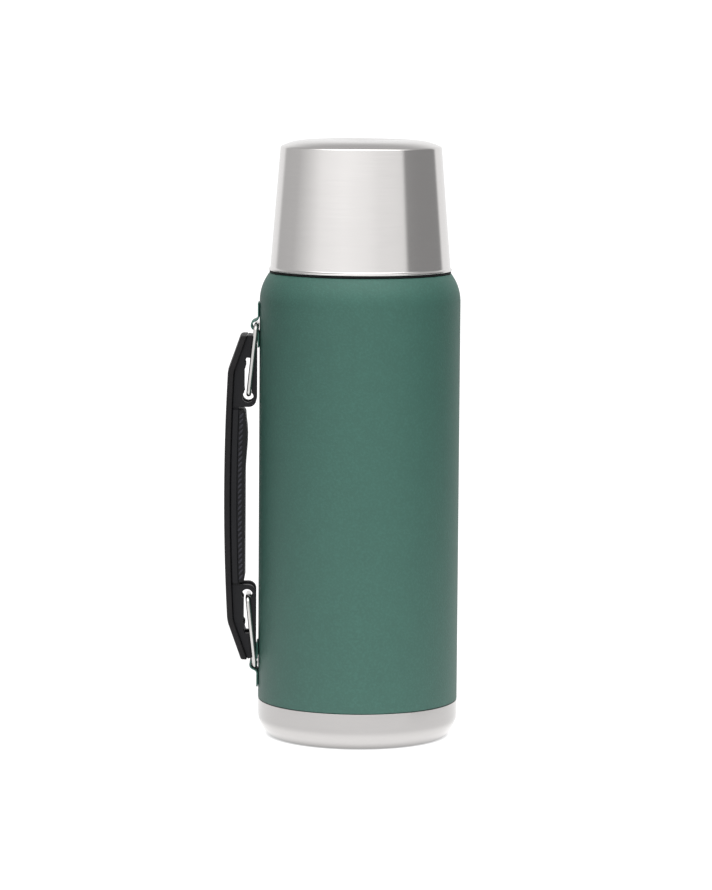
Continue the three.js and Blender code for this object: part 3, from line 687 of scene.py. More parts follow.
class FLASK_OT_vessel(bpy.types.Operator):
    """Inner vessel with a rolled lip, a waisted shoulder and a round-cornered bottom"""

    bl_idname = "flask.vessel"
    bl_label = "Inner vessel"

    def execute(self, context):
        sizes = context.scene.flask_sizes
        neck_r, mouth_r = neck_radii(sizes)
        corner_r, shoulder_r, shoulder_turn = 10, 14, 60
        shoulder_z = LEDGE_Z - 26

        def side(inset):
            low = corner_r - inset
            high = shoulder_r - inset
            shoulder = arc(VESSEL_R - shoulder_r, shoulder_z, high, high, 0, shoulder_turn)
            cone = (shoulder[-1][0] - mouth_r - SHEET + inset) / math.tan(math.radians(shoulder_turn))
            foot = arc(VESSEL_R - corner_r, VESSEL_Z + corner_r, low, low, -90, 0)
            return [*foot, *shoulder, (mouth_r + SHEET - inset, shoulder[-1][1] + cone, 3)]

        corners = [
            (0, VESSEL_Z),
            *side(0),
            (mouth_r + SHEET, MOUTH_Z - SHEET),
            (neck_r, MOUTH_Z - SHEET),
            (neck_r, MOUTH_Z, 0.3),
            (mouth_r, MOUTH_Z, 0.5),
            *reversed(side(SHEET)),
            (0, VESSEL_Z + SHEET),
        ]
        steel = finishes(context)("bright_steel")
        thread = mouth_r, MOUTH_BEAD_R, MOUTH_Z - 4 - BEAD_RISE
        lathe("steel_vessel", corners, sizes, steel, "inner_vessel", closed=False, thread=thread)
        for node in ("bottom_plate", "vacuum_seal_plug", "getter_capsule", "valve_stem"):
            frame["nodes"][node].data.materials.clear()
            frame["nodes"][node].data.materials.append(steel)
        return {"FINISHED"}


# ---- Cup -----------------------------------------------------------------------------------------

RIM_BEAD = 0.7
LINER_GAP = 1.3


def cup_wall(sizes, z, inset=0):
    """The radius of the cup's wall at a height."""
    return LEDGE_R - 0.2 - (z - CUP_Z) * math.tan(sizes.cup_taper) - inset


class FLASK_OT_cup(bpy.types.Operator):
    """Screw-on cup: a tapered shell with a rolled rim and a domed edge, and its drinking side"""

    bl_idname = "flask.cup"
    bl_label = "Cup"

    def execute(self, context):
        sizes = context.scene.flask_sizes
        finish = finishes(context)
        self.outside(sizes, finish)
        self.inside(sizes, finish)
        return {"FINISHED"}

    def outside(self, sizes, finish):
        wide, high = sizes.cup_edge_w / MM, sizes.cup_edge_h / MM
        side_top = CUP_TOP - high
        dome_r = (wide**2 + high**2) / (2 * high)
        reach = math.degrees(math.asin(wide / dome_r))
        flat_r, dome_z = cup_wall(sizes, side_top) - wide, CUP_TOP - dome_r
        dome = arc(flat_r, dome_z, dome_r, dome_r, 90 - reach, 90)
        corners = [
            (0, CUP_TOP - SHEET),
            *arc(flat_r, dome_z, dome_r - SHEET, dome_r - SHEET, 90, 90 - reach),
            (cup_wall(sizes, side_top - SHEET, SHEET), side_top - SHEET),
            (cup_wall(sizes, CUP_Z, SHEET), CUP_Z, 0.2),
            (cup_wall(sizes, CUP_Z, -RIM_BEAD), CUP_Z, 0.35),
            (cup_wall(sizes, CUP_Z, -RIM_BEAD), CUP_Z + 0.75, 0.35),
            (cup_wall(sizes, CUP_Z + 1.5), CUP_Z + 1.5, 0.9),
            (*dome[0], 1.2),
            *dome[1:],
            (0, CUP_TOP),
        ]
        lathe("cup_shell", corners, sizes, finish("brushed_steel"), "cup_outer_shell", closed=False)

    def inside(self, sizes, finish):
        inset = SHEET + LINER_GAP
        corner_r = 6
        corner_z = LINER_TOP - SHEET - corner_r
        corner_x = cup_wall(sizes, corner_z, inset + SHEET) - corner_r
        foot = LINER_FOOT
        corners = [
            (0, LINER_TOP - SHEET),
            *arc(corner_x, corner_z, corner_r, corner_r, 90, 0),
            (cup_wall(sizes, foot + 1, inset + SHEET), foot, 0.3),
            (cup_wall(sizes, foot, SHEET + GAP), foot),
            (cup_wall(sizes, foot + 1, SHEET + GAP), foot + 1),
            (cup_wall(sizes, foot + 2.5, inset), foot + 2.5),
            *arc(corner_x, corner_z, corner_r + SHEET, corner_r + SHEET, 0, 90),
            (0, LINER_TOP),
        ]
        lathe("cup_liner", corners, sizes, finish("bright_steel"), "cup_inner_liner", closed=False)


class FLASK_OT_cup_rings(bpy.types.Operator):
    """Thread ring in the cup's foot and the seal ring under its rim"""

    bl_idname = "flask.cup_rings"
    bl_label = "Cup rings"

    def execute(self, context):
        sizes = context.scene.flask_sizes
        finish = finishes(context)
        crest_r = neck_radii(sizes)[0] + NECK_BEAD_R + 0.5
        bore_r, inset = crest_r + RING_BEAD_R, SHEET + GAP
        ring = [
            (bore_r, RING_FOOT, 0.4),
            (cup_wall(sizes, RING_FOOT, inset), RING_FOOT, 0.3),
            (cup_wall(sizes, RING_TOP, inset), RING_TOP, 0.3),
            (bore_r, RING_TOP, 0.4),
        ]
        thread = bore_r, RING_BEAD_R, (RING_FOOT + RING_TOP - BEAD_RISE) / 2
        lathe("thread_ring", ring, sizes, finish("stopper_plastic"), "cup_thread_ring", thread=thread)
        seal_top = CUP_Z - GAP
        seal = [
            (crest_r, SEAL_Z, 0.25),
            (LEDGE_R, SEAL_Z, 0.3),
            (LEDGE_R, seal_top, 0.3),
            (crest_r, seal_top, 0.25),
        ]
        lathe("seal_ring", seal, sizes, finish("seal_rubber"), "cup_seal_ring")
        return {"FINISHED"}


# ---- Stopper -------------------------------------------------------------------------------------

PLUG_WALL = 2
SEAT_R = 12
WEB_RISE = 17
WEB_H = 2.5
STEM_R = 2.3
FLANGE_T = 2.2
CAP_WALL = 2.6
WINDOW_HALF_W = 7


def windowed(bm, corners, outer_r, facets):
    """A ring that is left out at the two pour windows."""
    opening = math.degrees(math.asin(WINDOW_HALF_W / outer_r))
    for start in (opening, 180 + opening):
        turned(bm, corners, facets, start=start, sweep=180 - 2 * opening)


class FLASK_OT_stopper(bpy.types.Operator):
    """Threaded plug with a flange and a pour collar, its top cap, and the gasket under the flange"""

    bl_idname = "flask.stopper"
    bl_label = "Stopper"

    def execute(self, context):
        sizes = context.scene.flask_sizes
        finish = finishes(context)
        self.housing(sizes, finish)
        self.top_cap(sizes, finish)
        return {"FINISHED"}

    def housing(self, sizes, finish):
        plug_r = neck_radii(sizes)[1] - MOUTH_BEAD_R - 0.5 - PLUG_BEAD_R
        bore_r = plug_r - PLUG_WALL
        flange_top = CAP_Z - GAP
        flange_z = flange_top - FLANGE_T
        corners = [
            (SEAT_R, PLUG_Z, 0.5),
            (plug_r, PLUG_Z, 1.2),
            (plug_r, flange_z, 0.5),
            (FLANGE_R, flange_z, 0.6),
            (FLANGE_R, flange_top, 0.6),
            (bore_r, flange_top, 0.8),
            (bore_r, PLUG_Z + PLUG_WALL, 1),
            (SEAT_R, PLUG_Z + PLUG_WALL, 0.5),
        ]
        bm = bmesh.new()
        turned(bm, corners, sizes.facets)
        collar_r = CAP_R - CAP_WALL - GAP
        collar = [
            (collar_r - PLUG_WALL, flange_top - 0.2),
            (collar_r, flange_top - 0.2),
            (collar_r, COLLAR_TOP, 0.5),
            (collar_r - PLUG_WALL, COLLAR_TOP, 0.5),
        ]
        windowed(bm, collar, collar_r, sizes.facets)
        web_z = PLUG_Z + WEB_RISE
        hub_r = STEM_R + 0.5
        hub = [
            (hub_r, web_z, 0.3),
            (hub_r + 6, web_z, 0.3),
            (hub_r + 6, web_z + WEB_H, 0.3),
            (hub_r, web_z + WEB_H, 0.3),
        ]
        turned(bm, hub, sizes.facets // 2)
        for quarter in range(4):
            spoke = Matrix.Diagonal((bore_r - hub_r - 3, 5, WEB_H - 0.2, 1))
            out = Matrix.Translation(((bore_r + hub_r + 3) / 2, 0, web_z + WEB_H / 2))
            turn = Matrix.Rotation(quarter * math.pi / 2, 4, "Z")
            bmesh.ops.create_cube(bm, size=1, matrix=turn @ out @ spoke)
        bead(bm, plug_r, PLUG_BEAD_R, MOUTH_Z - 5 - BEAD_RISE, BEAD_RISE, BEAD_TURNS)
        settle("stopper_body", bm, finish("stopper_plastic"), "stopper_housing")

        gasket_r = radius("stopper_gasket")
        inner_r = neck_radii(sizes)[1] - 0.4
        low, high = MOUTH_Z + GAP, flange_z - GAP
        gasket = [(inner_r, low, 0.5), (gasket_r, low, 0.6), (gasket_r, high, 0.6), (inner_r, high, 0.5)]
        lathe("neck_gasket", gasket, sizes, finish("pale_silicone"), "stopper_gasket")

    def top_cap(self, sizes, finish):
        hole_r = BUTTON_R + 0.4
        inner_r = CAP_R - CAP_WALL
        roof = CAP_TOP - CAP_WALL
        low, high = CAP_Z + 0.6, roof - 0.6
        crown = [
            (hole_r, CAP_Z),
            (hole_r + 1.5, CAP_Z),
            (hole_r + 1.5, roof),
            (inner_r, roof),
            (inner_r, high),
            (CAP_R, high),
            (CAP_R, CAP_TOP, 1.6),
            (hole_r + 2.2, CAP_TOP, 0.5),
            (hole_r + 1.2, CAP_TOP - 0.5, 0.4),
            (hole_r, CAP_TOP - 0.5, 0.4),
        ]
        bm = bmesh.new()
        turned(bm, crown, sizes.facets)
        turned(bm, [(inner_r, CAP_Z), (CAP_R, CAP_Z, 0.25), (CAP_R, low), (inner_r, low)], sizes.facets)
        windowed(bm, [(inner_r, low), (CAP_R, low), (CAP_R, high), (inner_r, high)], CAP_R, sizes.facets)
        settle("stopper_cap", bm, finish("stopper_plastic"), "stopper_top_cap")


class FLASK_OT_valve(bpy.types.Operator):
    """Pour button, and the valve disc that its stem pushes off the seat"""

    bl_idname = "flask.valve"
    bl_label = "Button and valve"

    def execute(self, context):
        sizes = context.scene.flask_sizes
        finish = finishes(context)
        roof, wall, bore_r = BUTTON_TOP - 1.6, 1.5, STEM_R + GAP
        button = [
            (0, roof - 1.2),
            (bore_r, roof - 1.2),
            (bore_r, BUTTON_Z),
            (bore_r + wall, BUTTON_Z),
            (bore_r + wall, roof),
            (BUTTON_R - wall, roof),
            (BUTTON_R - wall, BUTTON_Z, 0.3),
            (BUTTON_R, BUTTON_Z, 0.3),
            (BUTTON_R, BUTTON_TOP, 0.9),
            (BUTTON_R - 2.2, BUTTON_TOP, 1.5),
            (BUTTON_R - 5, BUTTON_TOP - 0.7, 6),
            (0, BUTTON_TOP - 0.9),
        ]
        lathe("push_button", button, sizes, finish("button_plastic"), "pour_button", closed=False)

        seal_low, seal_high = levels("valve_seal")
        seal_in, seal_out = SEAT_R + 0.4, DISC_R - 0.4
        top, pocket = seal_low - GAP, DISC_Z + 0.9
        disc = [
            (0, DISC_Z),
            (DISC_R, DISC_Z, 0.5),
            (DISC_R, top, 0.5),
            (bore_r + 3, top, 0.8),
            (bore_r + 2, DISC_TOP, 0.5),
            (bore_r, DISC_TOP, 0.2),
            (bore_r, pocket),
            (0, pocket),
        ]
        lathe("valve_plate", disc, sizes, finish("button_plastic"), "valve_disc", closed=False)
        seal = [
            (seal_in, seal_low, 0.3),
            (seal_out, seal_low, 0.3),
            (seal_out, seal_high, 0.4),
            (seal_in, seal_high, 0.4),
        ]
        lathe("valve_ring", seal, sizes, finish("pale_silicone"), "valve_seal")
        return {"FINISHED"}


class FLASK_OT_spring(bpy.types.Operator):
    """Coil spring under the button"""

    bl_idname = "flask.spring"
    bl_label = "Button spring"

    def execute(self, context):
        wire_r, turns = 0.5, 5
        coil_r = radius("button_spring") - wire_r
        low, high = SPRING_Z + wire_r, SPRING_TOP - wire_r
        bm = bmesh.new()
        bead(bm, coil_r, wire_r, low, high - low, turns, sides=10, steps=40)
        piece = settle("coil_spring", bm, finishes(context)("wire_steel"), "button_spring")
        travel = max(joint("button_press")["range_m"]) / MM
        keep = 1 - travel / (SPRING_TOP - SPRING_Z)
        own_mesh(piece)
        return {"FINISHED"}


# ---- Wire links and brackets ---------------------------------------------------------------------


def pivot_places():
    """Each side's name and the place of its pivot. The lower one is the upper one turned over."""
    return {
        "upper": Matrix.Translation(UPPER_PIVOT),
        "lower": Matrix.Translation(LOWER_PIVOT) @ Matrix.Rotation(math.pi, 4, "X"),
    }


class FLASK_OT_links(bpy.types.Operator):
    """Two rectangles of bent steel wire that carry the handle"""

    bl_idname = "flask.links"
    bl_label = "Wire links"

    def execute(self, context):
        wire_r = context.scene.flask_sizes.wire_r / MM
        drop = UPPER_PIVOT - UPPER_BAR
        lean = math.atan2(drop.x, drop.z)
        half_w = half_width("upper_wire_link") - wire_r
        for side, place in pivot_places().items():
            bm = bmesh.new()
            self.rectangle(bm, wire_r, half_w, drop.length)
            bm.transform(place @ Matrix.Rotation(lean, 4, "Y"))
            settle(f"{side}_wire", bm, finishes(context)("wire_steel"), f"{side}_wire_link")
        return {"FINISHED"}

    def rectangle(self, bm, wire_r, half_w, reach):
        """Bends the wire from its gap round four corners and back to its gap."""
        corner_r, half_gap = 2.6, 0.15
        width, height = half_w - corner_r, reach - corner_r
        first = wire_end(bm, wire_r, 20, Y * half_gap)
        end = pull(bm, first, Y * (width - half_gap))
        for side, down, onward in (
            (width, corner_r, Z * (corner_r - height)),
            (width, height, -2 * width * Y),
            (-width, height, Z * (height - corner_r)),
            (-width, corner_r, Y * (width - half_gap)),
        ):
            end = bend(bm, end, (0, side, -down), X, -90, 10)
            end = pull(bm, end, onward)
        for loose in (first, end):
            bmesh.ops.edgeloop_fill(bm, edges=loose)


class FLASK_OT_brackets(bpy.types.Operator):
    """Two coated straps that hook round the links' crossbars"""

    bl_idname = "flask.brackets"
    bl_label = "Brackets"

    def execute(self, context):
        sizes = context.scene.flask_sizes
        for side, place in pivot_places().items():
            bm = bmesh.new()
            self.strap(bm, sizes.wire_r / MM, sizes.strap_t / MM)
            bm.transform(place)
            settle(f"{side}_strap", bm, finishes(context)("powder_coat"), f"{side}_bracket")
        return {"FINISHED"}

    def strap(self, bm, wire_r, thick):
        """Bends a flat strap up off the wall, round the crossbar and back down to the wall."""
        reach, half_w, hook_play, hook_start, ease_r, wall_gap = 11, 7, 0.65, 115, 2, 0.03
        wall = -UPPER_PIVOT.x - BODY_R - wall_gap - thick / 2
        hook_r = wire_r + hook_play + thick / 2
        start, turn = math.radians(hook_start), 180 - hook_start
        join = Vector((hook_r * math.cos(start) - GAP, 0, hook_r * math.sin(start)))
        slope = Vector((-math.sin(start), 0, math.cos(start)))
        run = (wall - join.x) / -slope.x
        tangent = ease_r * math.tan(math.radians(turn / 2))
        flat_z = join.z - slope.z * run + tangent
        low, high = wall - thick / 2, wall + thick / 2
        corners = [(low, -half_w, 0.25), (high, -half_w, 0.25), (high, half_w, 0.25), (low, half_w, 0.25)]
        first = loop(bm, [(x, y, reach) for x, y in rounded(corners)])
        end = pull(bm, first, Z * (flat_z - reach))
        end = bend(bm, end, (wall - ease_r, 0, flat_z), Y, turn, 6)
        end = pull(bm, end, slope * (run - tangent))
        end = bend(bm, end, (-GAP, 0, 0), Y, 2 * hook_start - 360, 20)
        end = pull(bm, end, Vector((-slope.x, 0, slope.z)) * (run - tangent))
        end = bend(bm, end, (wall - ease_r, 0, -flat_z), Y, turn, 6)
        end = pull(bm, end, Z * (flat_z - reach))
        for loose in (first, end):
            bmesh.ops.edgeloop_fill(bm, edges=loose)


# ---- Handle --------------------------------------------------------------------------------------

# The handle is drawn about its middle, as a distance out from the body and a height.
BOW = 1.75
KINK_OUT = COVER_OUT - BOW
KINK_Z = BAR_RISE + 12.3
SLANT = (KINK_OUT - 9.5) / (HANDLE_TOP - KINK_Z)
SLANT_ANGLE = math.atan(SLANT)
BOW_R = (KINK_Z**2 + BOW**2) / (2 * BOW)
KINK_BEND_R = 14
END_RUN = 24
SEAM = 0.04
EAR_FOOT = BAR_RISE - 6.3
GRIP_TOP = EAR_FOOT - 1


def face_out(height, depth):
    """How far out a line lies that runs inside the handle's outer face, at a depth."""
    kink = KINK_Z - depth * math.tan(SLANT_ANGLE / 2)
    if height > kink:
        return KINK_OUT - depth - (height - kink) * SLANT
    return KINK_OUT - depth + BOW * (1 - (height / KINK_Z) ** 2)


def along_handle(bm, corners, reach=None):
    """Sweeps (depth, width) corners both ways along the handle's curve, to a reach or past its ends."""
    points = [(-(BODY_R + COVER_OUT - depth), y, HANDLE_MID) for depth, y in rounded(corners)]
    middle = loop(bm, points)
    bow_centre = Vector((BOW_R - BODY_R - COVER_OUT, 0, HANDLE_MID))
    bow_angle = math.asin(KINK_Z / BOW_R) - KINK_BEND_R / BOW_R * math.tan(SLANT_ANGLE / 2)
    for way in (1, -1):
        if reach:
            end = bend(bm, middle, bow_centre, Y, way * math.degrees(math.asin(reach / BOW_R)), 16)
            bmesh.ops.edgeloop_fill(bm, edges=end)
            continue
        end = bend(bm, middle, bow_centre, Y, way * math.degrees(bow_angle), 20)
        spoke = Vector((-math.cos(bow_angle), 0, way * math.sin(bow_angle)))
        kink_centre = bow_centre + spoke * (BOW_R - KINK_BEND_R)
        end = bend(bm, end, kink_centre, Y, way * math.degrees(SLANT_ANGLE - bow_angle), 6)
        end = pull(bm, end, Vector((math.sin(SLANT_ANGLE), 0, way * math.cos(SLANT_ANGLE))) * END_RUN)
        bmesh.ops.edgeloop_fill(bm, edges=end)


def trim(bm, height, way, edge):
    """Cuts the handle's end off level, and rounds the cut's edge over."""
    cut = Vector((0, 0, HANDLE_MID + way * height))
    everything = list(bm.verts) + list(bm.edges) + list(bm.faces)
    made = bmesh.ops.bisect_plane(bm, geom=everything, plane_co=cut, plane_no=Z * way, clear_outer=True)
    edges = [item for item in made["geom_cut"] if isinstance(item, bmesh.types.BMEdge)]
    bmesh.ops.edgeloop_fill(bm, edges=edges)
    round_over(bm, edges, edge)


class FLASK_OT_cover(bpy.types.Operator):
    """Grained outer cover that runs the whole length of the handle"""

    bl_idname = "flask.cover"
    bl_label = "Handle cover"

    def execute(self, context):
        thick = context.scene.flask_sizes.cover_t / MM
        half_w, crown = half_width("handle_outer_cover"), 0.45
        section = [
            (crown, -half_w, 1.5),
            (0, -half_w / 3, 20),
            (0, half_w / 3, 20),
            (crown, half_w, 1.5),
            (thick, half_w, 0.6),
            (thick, -half_w, 0.6),
        ]
        bm = bmesh.new()
        along_handle(bm, section)
        trim(bm, HANDLE_TOP, 1, 0.5)
        trim(bm, HANDLE_FOOT, -1, 0.7)
        settle("grip_cover", bm, finishes(context)("grained_cover"), "handle_outer_cover")
        return {"FINISHED"}


class FLASK_OT_frame(bpy.types.Operator):
    """Handle frame: a web along the grip and a pair of keyhole ears at each end"""

    bl_idname = "flask.frame"
    bl_label = "Handle frame"

    def execute(self, context):
        sizes = context.scene.flask_sizes
        out_depth = sizes.cover_t / MM + GAP
        in_depth = out_depth + sizes.web_t / MM
        ear_in, ear_out = 4.8, 8
        grip_w = half_width("handle_frame")
        bm = bmesh.new()
        seam_depth = out_depth - GAP + SEAM
        band = [
            (seam_depth, -grip_w, 0.9),
            (seam_depth, grip_w, 0.9),
            (in_depth, grip_w, 0.6),
            (in_depth, -grip_w, 0.6),
        ]
        spine_w = ear_out - 0.1
        spine = [
            (seam_depth, -spine_w, 0.5),
            (seam_depth, spine_w, 0.5),
            (in_depth - 0.1, spine_w, 0.5),
            (in_depth - 0.1, -spine_w, 0.5),
        ]
        along_handle(bm, spine)
        trim(bm, HANDLE_TOP - 0.1, 1, 0.25)
        trim(bm, HANDLE_FOOT - 0.1, -1, 0.25)
        along_handle(bm, band, GRIP_TOP)
        for way, end in ((1, HANDLE_TOP), (-1, HANDLE_FOOT)):
            outline = self.in_place(self.ear(end, out_depth, in_depth), way)
            hole = self.in_place(self.keyhole(), way)
            for side in (1, -1):
                plate(bm, outline, hole, side * ear_in, side * ear_out, 0.55)
        settle("grip_frame", bm, finishes(context)("frame_plastic"), "handle_frame")
        return {"FINISHED"}

    def in_place(self, corners, way):
        return [(-(BODY_R + out), HANDLE_MID + way * height) for out, height in rounded(corners)]

    def ear(self, end, out_depth, in_depth):
        """An ear's outline, from the cover's inside to the straight edge that faces the body."""
        edge, tip, tip_rise = 1.25, 4, 23.8
        kink = KINK_Z - out_depth * math.tan(SLANT_ANGLE / 2)
        between = (EAR_FOOT + kink) / 2
        return [
            (face_out(EAR_FOOT, out_depth), EAR_FOOT),
            (face_out(between, out_depth), between),
            (face_out(kink, out_depth), kink, 10),
            (face_out(end, out_depth), end, 0.8),
            (tip, end, 1.6),
            (edge, BAR_RISE + tip_rise, 4),
            (edge, EAR_FOOT, 3.8),
            (face_out(EAR_FOOT, in_depth) - 0.4, EAR_FOOT),
        ]

    def keyhole(self):
        """An eye where the crossbar sits, and a slot with a detent that it slides along."""
        out = -UPPER_BAR.x + 0.4 - BODY_R
        half_w, eye_r, notch = 2, 2.8, 0.8
        near, far = BAR_RISE - 1.3, BAR_RISE + 18.3
        detent = far - 4
        return [
            *arc(out, near, eye_r, eye_r, 130, 410, 30),
            (out + half_w, near + eye_r + 1.2, 1),
            (out + half_w, detent - 2.1, 1),
            (out + half_w - notch, detent - 1, 1),
            (out + half_w - notch, detent + 1, 1),
            (out + half_w, detent + 2.1, 1),
            *arc(out, far - half_w / 2, half_w, half_w / 2, 0, 180, 12),
            (out - half_w, near + eye_r + 1.2, 1),
        ]


class FLASK_OT_grip(bpy.types.Operator):
    """Soft grip pad with a swell for the forefinger, and slanted ribs along both of its sides"""

    bl_idname = "flask.grip"
    bl_label = "Grip pad"

    def execute(self, context):
        sizes = context.scene.flask_sizes
        finish = finishes(context)
        depth = (sizes.cover_t + sizes.web_t) / MM + GAP + SEAM
        half_w = half_width("handle_grip_pad")
        top, inner, swell = EAR_FOOT - 1.5, 6.8, 1.1
        heights = [top * share for share in (-1, -0.75, -0.5, -0.25, 0, 0.25, 0.5, 0.75, 1)]
        corners = [
            *[(face_out(abs(height), depth), height) for height in heights],
            (inner, top, 2.2),
            *[(inner - swell * self.swelling(up), top - up) for up in (6, 9, 13, 17, 21, 25, 29, 33)],
            (inner, -top, 2.2),
        ]
        outline = [(-(BODY_R + out), HANDLE_MID + height) for out, height in rounded(corners)]
        bm = bmesh.new()
        plate(bm, outline, None, 0.35 - half_w, half_w - 0.35, 0.9)
        settle("grip_pad", bm, finish("pad_rubber"), "handle_grip_pad")
        self.ribs(sizes, finish, depth, half_w, top)
        return {"FINISHED"}

    def swelling(self, down):
        """The finger swell's share of its full height, at a distance below the pad's top."""
        peak, above, below = 13, 13, 20
        return math.cos(math.pi / 2 * (down - peak) / (above if down < peak else below)) ** 2

    def ribs(self, sizes, finish, depth, half_w, top):
        pitch, lean = sizes.rib_pitch / MM, math.radians(38)
        count = int(2 * (top - 1) / pitch)
        shape = Matrix.Diagonal((0.62, 0.5, 1.65, 1))
        bm = bmesh.new()
        for side in (1, -1):
            for i in range(count):
                height = (i - (count - 1) / 2) * pitch
                out = BODY_R + face_out(abs(height), depth) - 1.25
                place = Matrix.Translation((-out, side * (half_w - 0.4), HANDLE_MID + height))
                place = place @ Matrix.Rotation(lean, 4, "Y") @ shape
                bmesh.ops.create_uvsphere(bm, u_segments=10, v_segments=8, radius=1, matrix=place)
        settle("grip_ribs", bm, finish("rib_rubber"), "handle_grip_pad", replaced=False)


# ---- Stage ---------------------------------------------------------------------------------------

# The studio's walls as a front camera meets them: degrees to the right of the camera, and brightness.
WALLS = (
    (-180, 0.95),
    (-140, 0.95),
    (-132, 0.56),
    (-98, 0.6),
    (-86, 0.72),
    (-57, 1.01),
    (-23, 1.1),
    (9, 1.01),
    (26, 0.92),
    (60, 0.9),
    (65, 0.31),
    (126, 0.31),
    (132, 0.95),
    (180, 0.95),
)
WALL_PEAK = 3.0

# How much of a wall's brightness is left below the horizon, by the same turn.
SKIRTING = (
    (-180, 1),
    (-150, 1),
    (-128, 0.05),
    (-85, 0.05),
    (-45, 1),
    (45, 1),
    (75, 0.1),
    (122, 0.1),
    (130, 1),
    (180, 1),
)

# The ceiling from behind the flask to above the camera: share of the way, and share of the brightest wall.
CEILING = ((0.5, 0.17), (0.6, 0.5), (0.72, 0.85))

# The plain brightness behind the flask, and the floor's radius in metres.
BACKDROP = 1.2
FLOOR_R = 0.5

# Painted light that the floor gives off, though it is no lamp: millimetres from the axis, and level. It is
# brightest in the ring that the base's rounded edge reflects, dimmer under the base for a painted dark line
# where the flask stands, and bright enough further out to fill in the flask's shadow.
PAINTED_FLOOR_GLOW = ((43, 0.4), (48, 1.2), (55, 1.2), (66, 0.86))
PAINTED_GLOW_PEAK = 1.2

# Soft lamps that light the matte surfaces: name, degrees to the right of the camera, degrees up, strength
# and softness in degrees.
LAMPS = (
    ("key", 8, 30, 3.3, 30),
    ("top", 0, 86, 3.2, 60),
    ("rim", 125, 15, 0.5, 40),
)


# The camera: focal length in millimetres, place in metres, and its tilt down and roll in degrees.
FOCAL_LENGTH = 158.9
CAMERA_PLACE = (-0.00155, -1.9514, 0.3677)
CAMERA_DOWN = 6.48
CAMERA_ROLL = 0.41


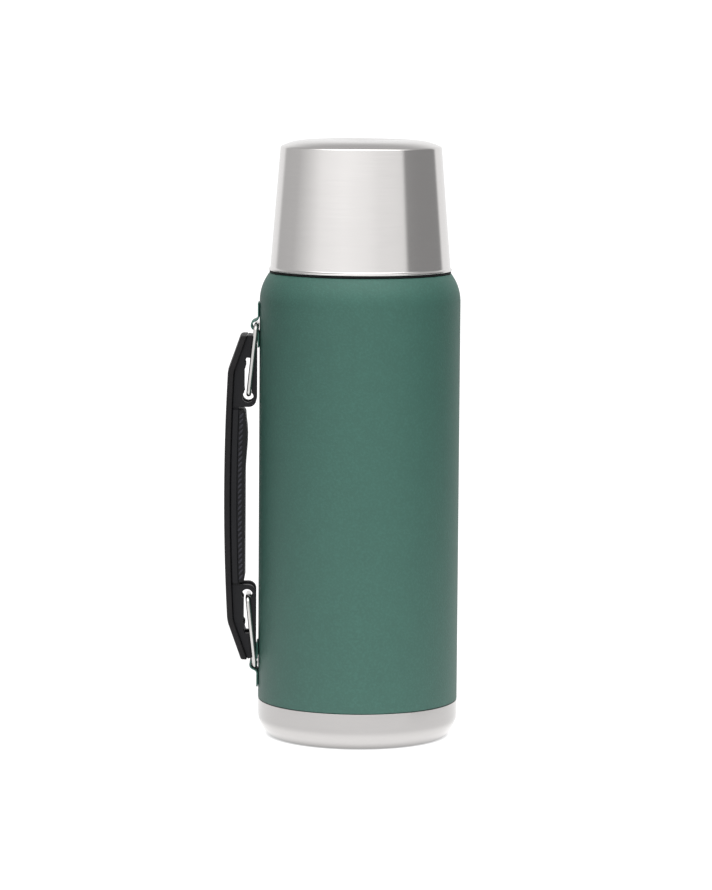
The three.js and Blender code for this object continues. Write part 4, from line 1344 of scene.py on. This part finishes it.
class FLASK_OT_stage(bpy.types.Operator):
    """Pale floor, soft studio walls and the camera"""

    bl_idname = "flask.stage"
    bl_label = "Stage"

    def execute(self, context):
        self.floor(context)
        self.light(context)
        self.camera(context)
        return {"FINISHED"}

    def floor(self, context):
        bm = bmesh.new()
        bmesh.ops.create_circle(bm, cap_ends=True, segments=96, radius=FLOOR_R)
        mesh = bpy.data.meshes.new("floor")
        bm.to_mesh(mesh)
        bm.free()
        mesh.materials.append(finishes(context)("studio_floor"))
        floor = bpy.data.objects.new("floor", mesh)
        context.scene.collection.objects.link(floor)

    def light(self, context):
        world = bpy.data.worlds.new("studio")
        world.use_nodes = True
        context.scene.world = world
        nodes = Nodes(world.node_tree)
        where = nodes.add("TexCoord", {}, {}, "Generated")
        x, y, z = (nodes.add("SeparateXYZ", {}, {"Vector": where}, axis) for axis in "XYZ")
        turn = nodes.add("Math", {"operation": "ARCTAN2"}, {0: x, 1: y * -1}) / (2 * math.pi) + 0.5
        stops = [(angle / 360 + 0.5, level / WALL_PEAK) for angle, level in WALLS]
        walls = nodes.add("ValToRGB", {"stops": stops}, {"Fac": turn}) * WALL_PEAK
        stops = [(angle / 360 + 0.5, share) for angle, share in SKIRTING]
        skirting = nodes.add("ValToRGB", {"stops": stops}, {"Fac": turn})
        down = nodes.add("ValToRGB", {"stops": [(0.45, 1), (0.5, 0)]}, {"Fac": z * 0.5 + 0.5})
        walls = walls * (1 - down + down * skirting)
        up = nodes.add("ValToRGB", {"stops": [(0.3, 0), (0.6, 1)]}, {"Fac": z})
        over = nodes.add("ValToRGB", {"stops": CEILING}, {"Fac": 0.5 - y * 0.5}) * WALL_PEAK
        light = walls * (1 - up) + up * over
        seen = nodes.add("LightPath", {}, {}, "Is Camera Ray")
        nodes.fill(world.node_tree.nodes["Background"], {"Color": light * (1 - seen) + seen * BACKDROP})
        world.cycles_visibility.diffuse = False
        for name, turn, rise, strength, softness in LAMPS:
            lamp = bpy.data.lights.new(name, "SUN")
            lamp.energy, lamp.angle = strength, math.radians(softness)
            sun = bpy.data.objects.new(name, lamp)
            context.scene.collection.objects.link(sun)
            around = Matrix.Rotation(math.radians(turn), 4, "Z")
            sun.matrix_world = around @ Matrix.Rotation(math.radians(90 - rise), 4, "X")
            sun.visible_glossy = False
        context.scene.view_settings.view_transform = "Standard"

    def camera(self, context):
        lens = bpy.data.cameras.new("camera")
        lens.lens, lens.sensor_width = FOCAL_LENGTH, 36
        lens.clip_start, lens.clip_end = 0.05, 200
        camera = bpy.data.objects.new("camera", lens)
        context.scene.collection.objects.link(camera)
        pitch = Matrix.Rotation(math.radians(90 - CAMERA_DOWN), 4, "X")
        roll = Matrix.Rotation(math.radians(CAMERA_ROLL), 4, "Z")
        camera.matrix_world = Matrix.Translation(CAMERA_PLACE) @ pitch @ roll
        context.scene.camera = camera


# ---- Add-on --------------------------------------------------------------------------------------

OPERATORS = (
    FLASK_OT_stage,
    FLASK_OT_outer_shell,
    FLASK_OT_base,
    FLASK_OT_vessel,
    FLASK_OT_cup,
    FLASK_OT_cup_rings,
    FLASK_OT_stopper,
    FLASK_OT_valve,
    FLASK_OT_spring,
    FLASK_OT_links,
    FLASK_OT_brackets,
    FLASK_OT_cover,
    FLASK_OT_frame,
    FLASK_OT_grip,
)


class FLASK_PT_pieces(bpy.types.Panel):
    """Settings and pieces of the flask"""

    bl_idname = "FLASK_PT_pieces"
    bl_label = "Vacuum flask"
    bl_space_type = "VIEW_3D"
    bl_region_type = "UI"
    bl_category = "Flask"

    def draw(self, context):
        for settings in (context.scene.flask_sizes, context.scene.flask_colours):
            box = self.layout.box()
            for name in settings.__annotations__:
                box.prop(settings, name)
        for operator in OPERATORS:
            self.layout.operator(operator.bl_idname)


CLASSES = (FlaskSizes, FlaskColours, *OPERATORS, FLASK_PT_pieces)


def register():
    for cls in CLASSES:
        bpy.utils.register_class(cls)
    bpy.types.Scene.flask_sizes = bpy.props.PointerProperty(type=FlaskSizes)
    bpy.types.Scene.flask_colours = bpy.props.PointerProperty(type=FlaskColours)


def unregister():
    del bpy.types.Scene.flask_colours
    del bpy.types.Scene.flask_sizes
    for cls in reversed(CLASSES):
        bpy.utils.unregister_class(cls)


def main():
    register()
    for operator in OPERATORS:
        group, name = operator.bl_idname.split(".")
        getattr(getattr(bpy.ops, group), name)()


if __name__ == "__main__":
    main()
